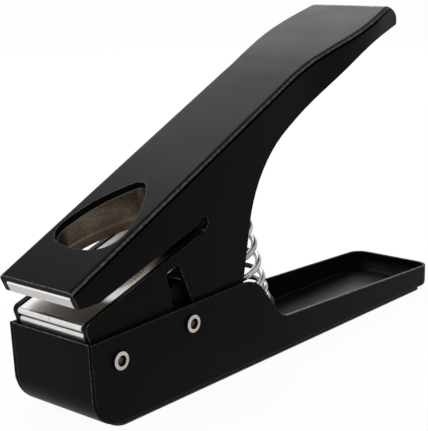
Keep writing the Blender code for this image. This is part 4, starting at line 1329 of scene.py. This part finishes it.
class PunchSizes(bpy.types.PropertyGroup):
    """Sizes of the punch's visible detail."""

    sheet_edge: length_setting("Sheet edge", "Rounding on the folded sheets' cut edges", 0.00025)
    ground_edge: length_setting("Ground edge", "Rounding on the ground die and plates", 0.00012)
    moulded_edge: length_setting("Moulded edge", "Rounding on moulded parts", 0.0003)
    flange_radius: length_setting("Pin flange radius", "Radius of a pin end's flange", 0.0029)
    flange_thick: length_setting("Pin flange thickness", "How far a pin end stands out", 0.0009)
    recess_depth: length_setting("Pin recess", "Depth of the cone round a pin's socket", 0.0002)
    socket_flats: length_setting("Pin socket", "Width across the flats of a pin's socket", 0.0030)
    socket_depth: length_setting("Pin socket depth", "Depth of a pin's socket", 0.0024)
    spring_wire: length_setting("Spring wire", "Thickness of the spring's wire", SPRING_WIRE)
    spring_radius: length_setting("Spring radius", "Mean radius of the spring", SPRING_RADIUS)
    spring_pitch: length_setting("Spring pitch", "Rise of one open turn", SPRING_PITCH)


class PunchLooks(bpy.types.PropertyGroup):
    """Colours and gloss of the punch's finishes."""

    coat: colour_setting("Powder coat", "Black powder coat on the sheets", "#0b0b0c")
    # Painted highlight: the lighter grey that the coat's edges take on
    coat_edge: colour_setting("Powder coat edge", "Thin coat along the sheets' edges", "#707073")
    # Painted shade: the dark line along the head's folds
    coat_fold: colour_setting("Powder coat folds", "Stretched coat along the head's folds", "#030303")
    coat_roughness: share_setting("Coat roughness", "How matt the powder coat is", 0.38)
    coat_specular: share_setting("Coat reflection", "Strength of the coat's reflection", 0.032)
    zinc: colour_setting("Zinc plate", "Plated strip of the guide plates", "#e6e4e1")
    zinc_shade: colour_setting("Zinc plate shade", "Its darker patches", "#d6d5d4")
    # Painted shade on the plates' undersides, tops and ends inside the head
    zinc_dirty: colour_setting("Dirty zinc", "Oily ends of the plates inside the head", "#352d26")
    die: colour_setting("Die steel", "Plated die block and pick punch", "#9c8f80")
    die_shade: colour_setting("Die steel shade", "Its darker patches", "#82766a")
    die_edge: colour_setting("Die steel edge", "Its ground edges", "#5e5347")
    # The front's ground finish with a painted highlight
    die_front: colour_setting("Die front", "Its bright ground front", "#f2f2f4")
    chrome: colour_setting("Spring chrome", "Plated spring wire", "#b9b9bb")
    chrome_shade: colour_setting("Spring chrome shade", "Its darker patches", "#8f8f92")
    # Painted dark reflection along the coils
    chrome_dull: colour_setting("Dull chrome", "Streak along the wire's lower side", "#5c5c60")
    pin: colour_setting("Pin nickel", "Plated pins", "#c4bfb7")
    pin_shade: colour_setting("Pin nickel shade", "Their darker patches", "#aaa49b")
    # Painted shade inside the pins' sockets
    pin_recess: colour_setting("Pin recess", "Oily, unpolished walls of the sockets", "#4a3e32")
    nylon: colour_setting("Nylon", "Washers", "#dcdad5")
    nylon_shade: colour_setting("Nylon shade", "Their darker patches", "#cdcac2")
    black_nylon: colour_setting("Black nylon", "Spring seats and bushes", "#0c0c0d")
    pad: colour_setting("Pad", "Rubber sheet under the base", "#151515")
    pad_shade: colour_setting("Pad shade", "Its greyer patches", "#1f1f1f")


class PunchStage(bpy.types.PropertyGroup):
    """Floor and light of the plain studio."""

    floor: colour_setting("Floor", "Pale studio floor", "#f4f4f4")
    floor_white: share_setting("Floor white", "Share of the floor that shows as white", 0.95)
    ambient: share_setting("Ambient", "Light from all round", 0.75, 2)
    key_power: power_setting("Key lamp", "Power of the large lamp over the camera's left", 1.5)
    back_power: power_setting("Back lamp", "Power of the soft lamp behind the handle", 3.9)
    tray_power: power_setting("Tray lamp", "Power of the low lamp that the tray mirrors", 1.1)


# Operators
class PUNCH_OT_tub_sheet(bpy.types.Operator):
    """Build the base's folded tub"""

    bl_idname = "punch.tub_sheet"
    bl_label = "Tub sheet"

    def execute(self, context):
        dress(base_tub(context.scene.punch_sizes.sheet_edge), "coat", "base", "base_tub")
        return {"FINISHED"}


class PUNCH_OT_pad(bpy.types.Operator):
    """Build the rubber pad under the base"""

    bl_idname = "punch.pad"
    bl_label = "Base pad"

    def execute(self, context):
        pad = rounded_copy("rubber_pad", "base_pad", context.scene.punch_sizes.ground_edge)
        dress(pad, "pad", "base", "base_pad")
        return {"FINISHED"}


class PUNCH_OT_head_sheet(bpy.types.Operator):
    """Build the head's folded lever and jaws"""

    bl_idname = "punch.head_sheet"
    bl_label = "Head sheet"

    def execute(self, context):
        dress(head_sheet(context.scene.punch_sizes.sheet_edge), "coat", "head", "head_shell")
        return {"FINISHED"}


class PUNCH_OT_die_block(bpy.types.Operator):
    """Build the die block over the card slot"""

    bl_idname = "punch.die_block"
    bl_label = "Die block"

    def execute(self, context):
        dress(die_block(context.scene.punch_sizes.ground_edge), "die", "head", "die_block")
        return {"FINISHED"}


class PUNCH_OT_guide_plates(bpy.types.Operator):
    """Build the two guide plates of the lower jaw"""

    bl_idname = "punch.guide_plates"
    bl_label = "Guide plates"

    def execute(self, context):
        edge = context.scene.punch_sizes.ground_edge
        upper = -PLATE_BELOW_CARD
        lower = upper - PLATE_THICK - PLATE_SPACE
        dress(guide_plate("upper_plate", upper, True, edge), "zinc", "head", "guide_plate_upper")
        dress(guide_plate("lower_plate", lower, False, edge), "zinc", "head", "guide_plate_lower")
        return {"FINISHED"}


class PUNCH_OT_rivets(bpy.types.Operator):
    """Build the rivets between the guide plates"""

    bl_idname = "punch.rivets"
    bl_label = "Guide rivets"

    def execute(self, context):
        nodes = ["guide_rivet_" + str(index) for index in range(1, 5)]
        edge = context.scene.punch_sizes.ground_edge
        dress(fasteners("plate_rivets", nodes, edge, "zinc"), "zinc", "head", *nodes)
        return {"FINISHED"}


class PUNCH_OT_punch(bpy.types.Operator):
    """Build the pick punch, its carrier and the screws between them"""

    bl_idname = "punch.punch"
    bl_label = "Punch and carrier"

    def execute(self, context):
        edge = context.scene.punch_sizes.ground_edge
        dress(rounded_copy("punch_ground", "pick_punch", edge), "die", "punch", "pick_punch")
        # The carrier takes the black coat so that the notch shows dark there: a dark part standing in
        # for shade
        carrier = rounded_copy("carrier_coated", "punch_carrier", edge)
        dress(carrier, "coat", "punch", "punch_carrier")
        nodes = ("carrier_screw_1", "carrier_screw_2")
        dress(fasteners("cap_screws", nodes, edge, "zinc"), "zinc", "punch", *nodes)
        return {"FINISHED"}


class PUNCH_OT_pins(bpy.types.Operator):
    """Build the flanged ends of the two pins, and their shanks"""

    bl_idname = "punch.pins"
    bl_label = "Pins"

    def execute(self, context):
        across = Vector((1, 0, 0))
        wall = BASE_WIDTH / 2 + GAP
        ends = []
        for point in (PIVOT, DRIVE):
            ends.append((world(wall, point), across))
            ends.append((world(-wall, point), -across))
        middles = [(world(0, point), across) for point in (PIVOT, DRIVE)]
        end = pin_end(context.scene.punch_sizes)
        shank = rod(wall - BASE_WALL - HEAD_SHEET, PIN_RADIUS)
        nodes = ("pivot_barrel", "pivot_screw", "drive_barrel", "drive_screw")
        dress(repeated("pin_ends", end, ends, "pin"), "pin", "base", *nodes)
        dress(repeated("pin_shanks", shank, middles, "pin"), "pin", "base", *nodes)
        return {"FINISHED"}


class PUNCH_OT_sleeves(bpy.types.Operator):
    """Build the sleeves, washers and bushes on the pins"""

    bl_idname = "punch.sleeves"
    bl_label = "Sleeves, washers and bushes"

    def execute(self, context):
        edge = context.scene.punch_sizes.ground_edge
        for name, node, look, body in (
            ("pivot_tube", "pivot_sleeve", "zinc", "head"),
            ("drive_tube", "drive_sleeve", "zinc", "base"),
            ("washer_near", "pivot_washer_near", "nylon", "base"),
            ("washer_far", "pivot_washer_far", "nylon", "base"),
            ("bush_near", "drive_bush_near", "black_nylon", "base"),
            ("bush_far", "drive_bush_far", "black_nylon", "base"),
        ):
            dress(rounded_copy(name, node, edge), look, body, node)
        return {"FINISHED"}


class PUNCH_OT_spring(bpy.types.Operator):
    """Wind the return spring between its seats"""

    bl_idname = "punch.spring"
    bl_label = "Return spring"

    def execute(self, context):
        sizes = context.scene.punch_sizes
        mesh = bpy.data.meshes.new("wound_spring")
        mesh.from_pydata([(0, 0, 0)], [], [])
        spring = linked("wound_spring", mesh)
        height = spring_height()
        wound_wire(spring, {
            "Height": height - 2 * GAP,
            "Radius": sizes.spring_radius,
            "Wire": sizes.spring_wire,
            "Open pitch": sizes.spring_pitch,
            "Close pitch": SPRING_END_PITCH,
            "Close turns": SPRING_END_TURNS,
            "Points a turn": WIRE_POINTS,
            "Wire sides": WIRE_SIDES,
            "Finish": finish("chrome"),
        })
        placed(spring, spring_frame() @ Matrix.Translation((0, 0, GAP)))
        spring.data.shade_smooth()
        spring.data.set_sharp_from_angle(angle=SPRING_SHARP)
        # Painted dark reflection: faces that turn toward one side take the dark streak
        marked(spring, lambda centre, normal: normal.dot(DARK_REFLECTION_SIDE) > DARK_REFLECTION_WITHIN)
        dress(spring, "chrome", None, "return_spring")
        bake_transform(spring)
        return {"FINISHED"}


class PUNCH_OT_seats(bpy.types.Operator):
    """Build the moulded seats at the spring's ends"""

    bl_idname = "punch.seats"
    bl_label = "Spring seats"

    def execute(self, context):
        edge = context.scene.punch_sizes.moulded_edge
        level = FLOOR_UNDER + BASE_WALL + GAP
        low_y = SPRING_FOOT.x - SEAT_RADIUS * 2
        high_y = SPRING_FOOT.x + SEAT_RADIUS * 2
        room = [(low_y, level), (high_y, level), (high_y, CREST_HEIGHT), (low_y, CREST_HEIGHT)]
        back = -SPRING_FOOT.y - SEAT_RADIUS
        foot = spring_seat("spring_foot_moulded", back, 0, SEAT_BOSS_HEIGHT, room, edge)
        dress(foot, "black_nylon", "base", "spring_foot")
        face = spring_height()
        under = HEAD_SHEET + GAP
        room = [
            top_point(0, under), top_point(TOP_BEND_Y, under),
            top_point(TOP_BEND_Y, CUT_REACH), top_point(0, CUT_REACH),
        ]
        back = face + SEAT_RADIUS
        cup = spring_seat("spring_cup_moulded", back, face, face - SEAT_BOSS_HEIGHT, room, edge)
        dress(cup, "black_nylon", "head", "spring_cup")
        return {"FINISHED"}


def seen_as_background(tree):
    """Share that is 1 for rays that should meet plain white: camera, gloss and glass."""
    ray = add(tree, "ShaderNodeLightPath").outputs
    gloss = add(tree, "ShaderNodeMath", {"operation": "MAXIMUM"}, {
        0: ray["Is Camera Ray"], 1: ray["Is Glossy Ray"],
    })
    return add(tree, "ShaderNodeMath", {"operation": "MAXIMUM"}, {
        0: gloss, 1: ray["Is Transmission Ray"],
    })


def floor_material(stage):
    """Matt pale floor that shows white, and keeps the object's shadow."""
    made = blank_material("matt_pale_floor")
    tree = made.node_tree
    matt = add(tree, "ShaderNodeBsdfDiffuse", inputs={"Color": opaque(stage.floor)})
    white = add(tree, "ShaderNodeEmission", inputs={"Color": (1, 1, 1, 1), "Strength": 1.0})
    share = add(tree, "ShaderNodeMath", {"operation": "MULTIPLY"}, {
        0: seen_as_background(tree), 1: stage.floor_white,
    })
    mixed = add(tree, "ShaderNodeMixShader", inputs={
        0: share, 1: matt, 2: white,
    })
    add(tree, "ShaderNodeOutputMaterial", inputs={"Surface": mixed})
    return made


class PUNCH_OT_stage(bpy.types.Operator):
    """Build the floor, the lamps, the surroundings and the camera"""

    bl_idname = "punch.stage"
    bl_label = "Stage"

    def execute(self, context):
        scene = context.scene
        stage = scene.punch_stage
        bm = bmesh.new()
        bmesh.ops.create_grid(bm, x_segments=2, y_segments=2, size=FLOOR_REACH)
        floor = object_from(bm, "studio_floor")
        floor.data.materials.append(floor_material(stage))

        for name, place, size in LAMPS:
            data = bpy.data.lights.new(name + "_lamp", "AREA")
            data.shape = "SQUARE"
            data.size = size
            data.energy = getattr(stage, name + "_power")
            lamp = linked(name + "_lamp", data)
            aim = (LAMP_TARGET - place).to_track_quat("-Z", "Y").to_matrix().to_4x4()
            lamp.matrix_world = Matrix.Translation(place) @ aim

        surroundings = bpy.data.worlds.new("plain_studio")
        surroundings.use_nodes = True
        tree = surroundings.node_tree
        tree.nodes.clear()
        level = add(tree, "ShaderNodeMapRange", inputs={
            "Value": seen_as_background(tree), "To Min": stage.ambient, "To Max": 1.0,
        })
        sky = add(tree, "ShaderNodeBackground", inputs={
            "Color": (1, 1, 1, 1), "Strength": level,
        })
        add(tree, "ShaderNodeOutputWorld", inputs={"Surface": sky})
        scene.world = surroundings

        data = bpy.data.cameras.new("camera")
        data.lens = CAMERA_LENS
        data.clip_start = CAMERA_NEAR
        data.clip_end = CAMERA_FAR
        camera = linked("camera", data)
        right = Vector((math.cos(CAMERA_AZIMUTH), math.sin(CAMERA_AZIMUTH), 0))
        back = Vector((
            math.sin(CAMERA_AZIMUTH) * math.cos(CAMERA_ELEVATION),
            -math.cos(CAMERA_AZIMUTH) * math.cos(CAMERA_ELEVATION),
            math.sin(CAMERA_ELEVATION),
        ))
        up = back.cross(right)
        turn = Matrix((right, up, back)).transposed() @ Matrix.Rotation(CAMERA_ROLL, 3, "Z")
        camera.matrix_world = Matrix.Translation(CAMERA_PLACE) @ turn.to_4x4()
        scene.camera = camera
        scene.view_settings.view_transform = "Standard"
        return {"FINISHED"}


SETTINGS = {"punch_sizes": PunchSizes, "punch_looks": PunchLooks, "punch_stage": PunchStage}
OPERATORS = (
    PUNCH_OT_tub_sheet,
    PUNCH_OT_pad,
    PUNCH_OT_head_sheet,
    PUNCH_OT_die_block,
    PUNCH_OT_guide_plates,
    PUNCH_OT_rivets,
    PUNCH_OT_punch,
    PUNCH_OT_pins,
    PUNCH_OT_sleeves,
    PUNCH_OT_spring,
    PUNCH_OT_seats,
    PUNCH_OT_stage,
)


class PUNCH_PT_sidebar(bpy.types.Panel):
    """Lists the punch's pieces and settings"""

    bl_idname = "PUNCH_PT_sidebar"
    bl_label = "Pick punch"
    bl_space_type = "VIEW_3D"
    bl_region_type = "UI"
    bl_category = "Pick punch"

    def draw(self, context):
        column = self.layout.column()
        for operator in OPERATORS:
            column.operator(operator.bl_idname)
        for name, group in SETTINGS.items():
            for setting in group.__annotations__:
                column.prop(getattr(context.scene, name), setting)


CLASSES = (*SETTINGS.values(), *OPERATORS, PUNCH_PT_sidebar)


def register():
    """Registers the settings, the operators and the panel."""
    for kind in CLASSES:
        bpy.utils.register_class(kind)
    for name, group in SETTINGS.items():
        setattr(bpy.types.Scene, name, bpy.props.PointerProperty(type=group))


def unregister():
    """Takes the settings, the panel and the operators out again."""
    for name in SETTINGS:
        delattr(bpy.types.Scene, name)
    for kind in reversed(CLASSES):
        bpy.utils.unregister_class(kind)


def main():
    """Builds every piece and the stage."""
    register()
    bpy.ops.punch.tub_sheet()
    bpy.ops.punch.pad()
    bpy.ops.punch.head_sheet()
    bpy.ops.punch.die_block()
    bpy.ops.punch.guide_plates()
    bpy.ops.punch.rivets()
    bpy.ops.punch.punch()
    bpy.ops.punch.pins()
    bpy.ops.punch.sleeves()
    bpy.ops.punch.spring()
    bpy.ops.punch.seats()
    bpy.ops.punch.stage()


if __name__ == "__main__":
    main()
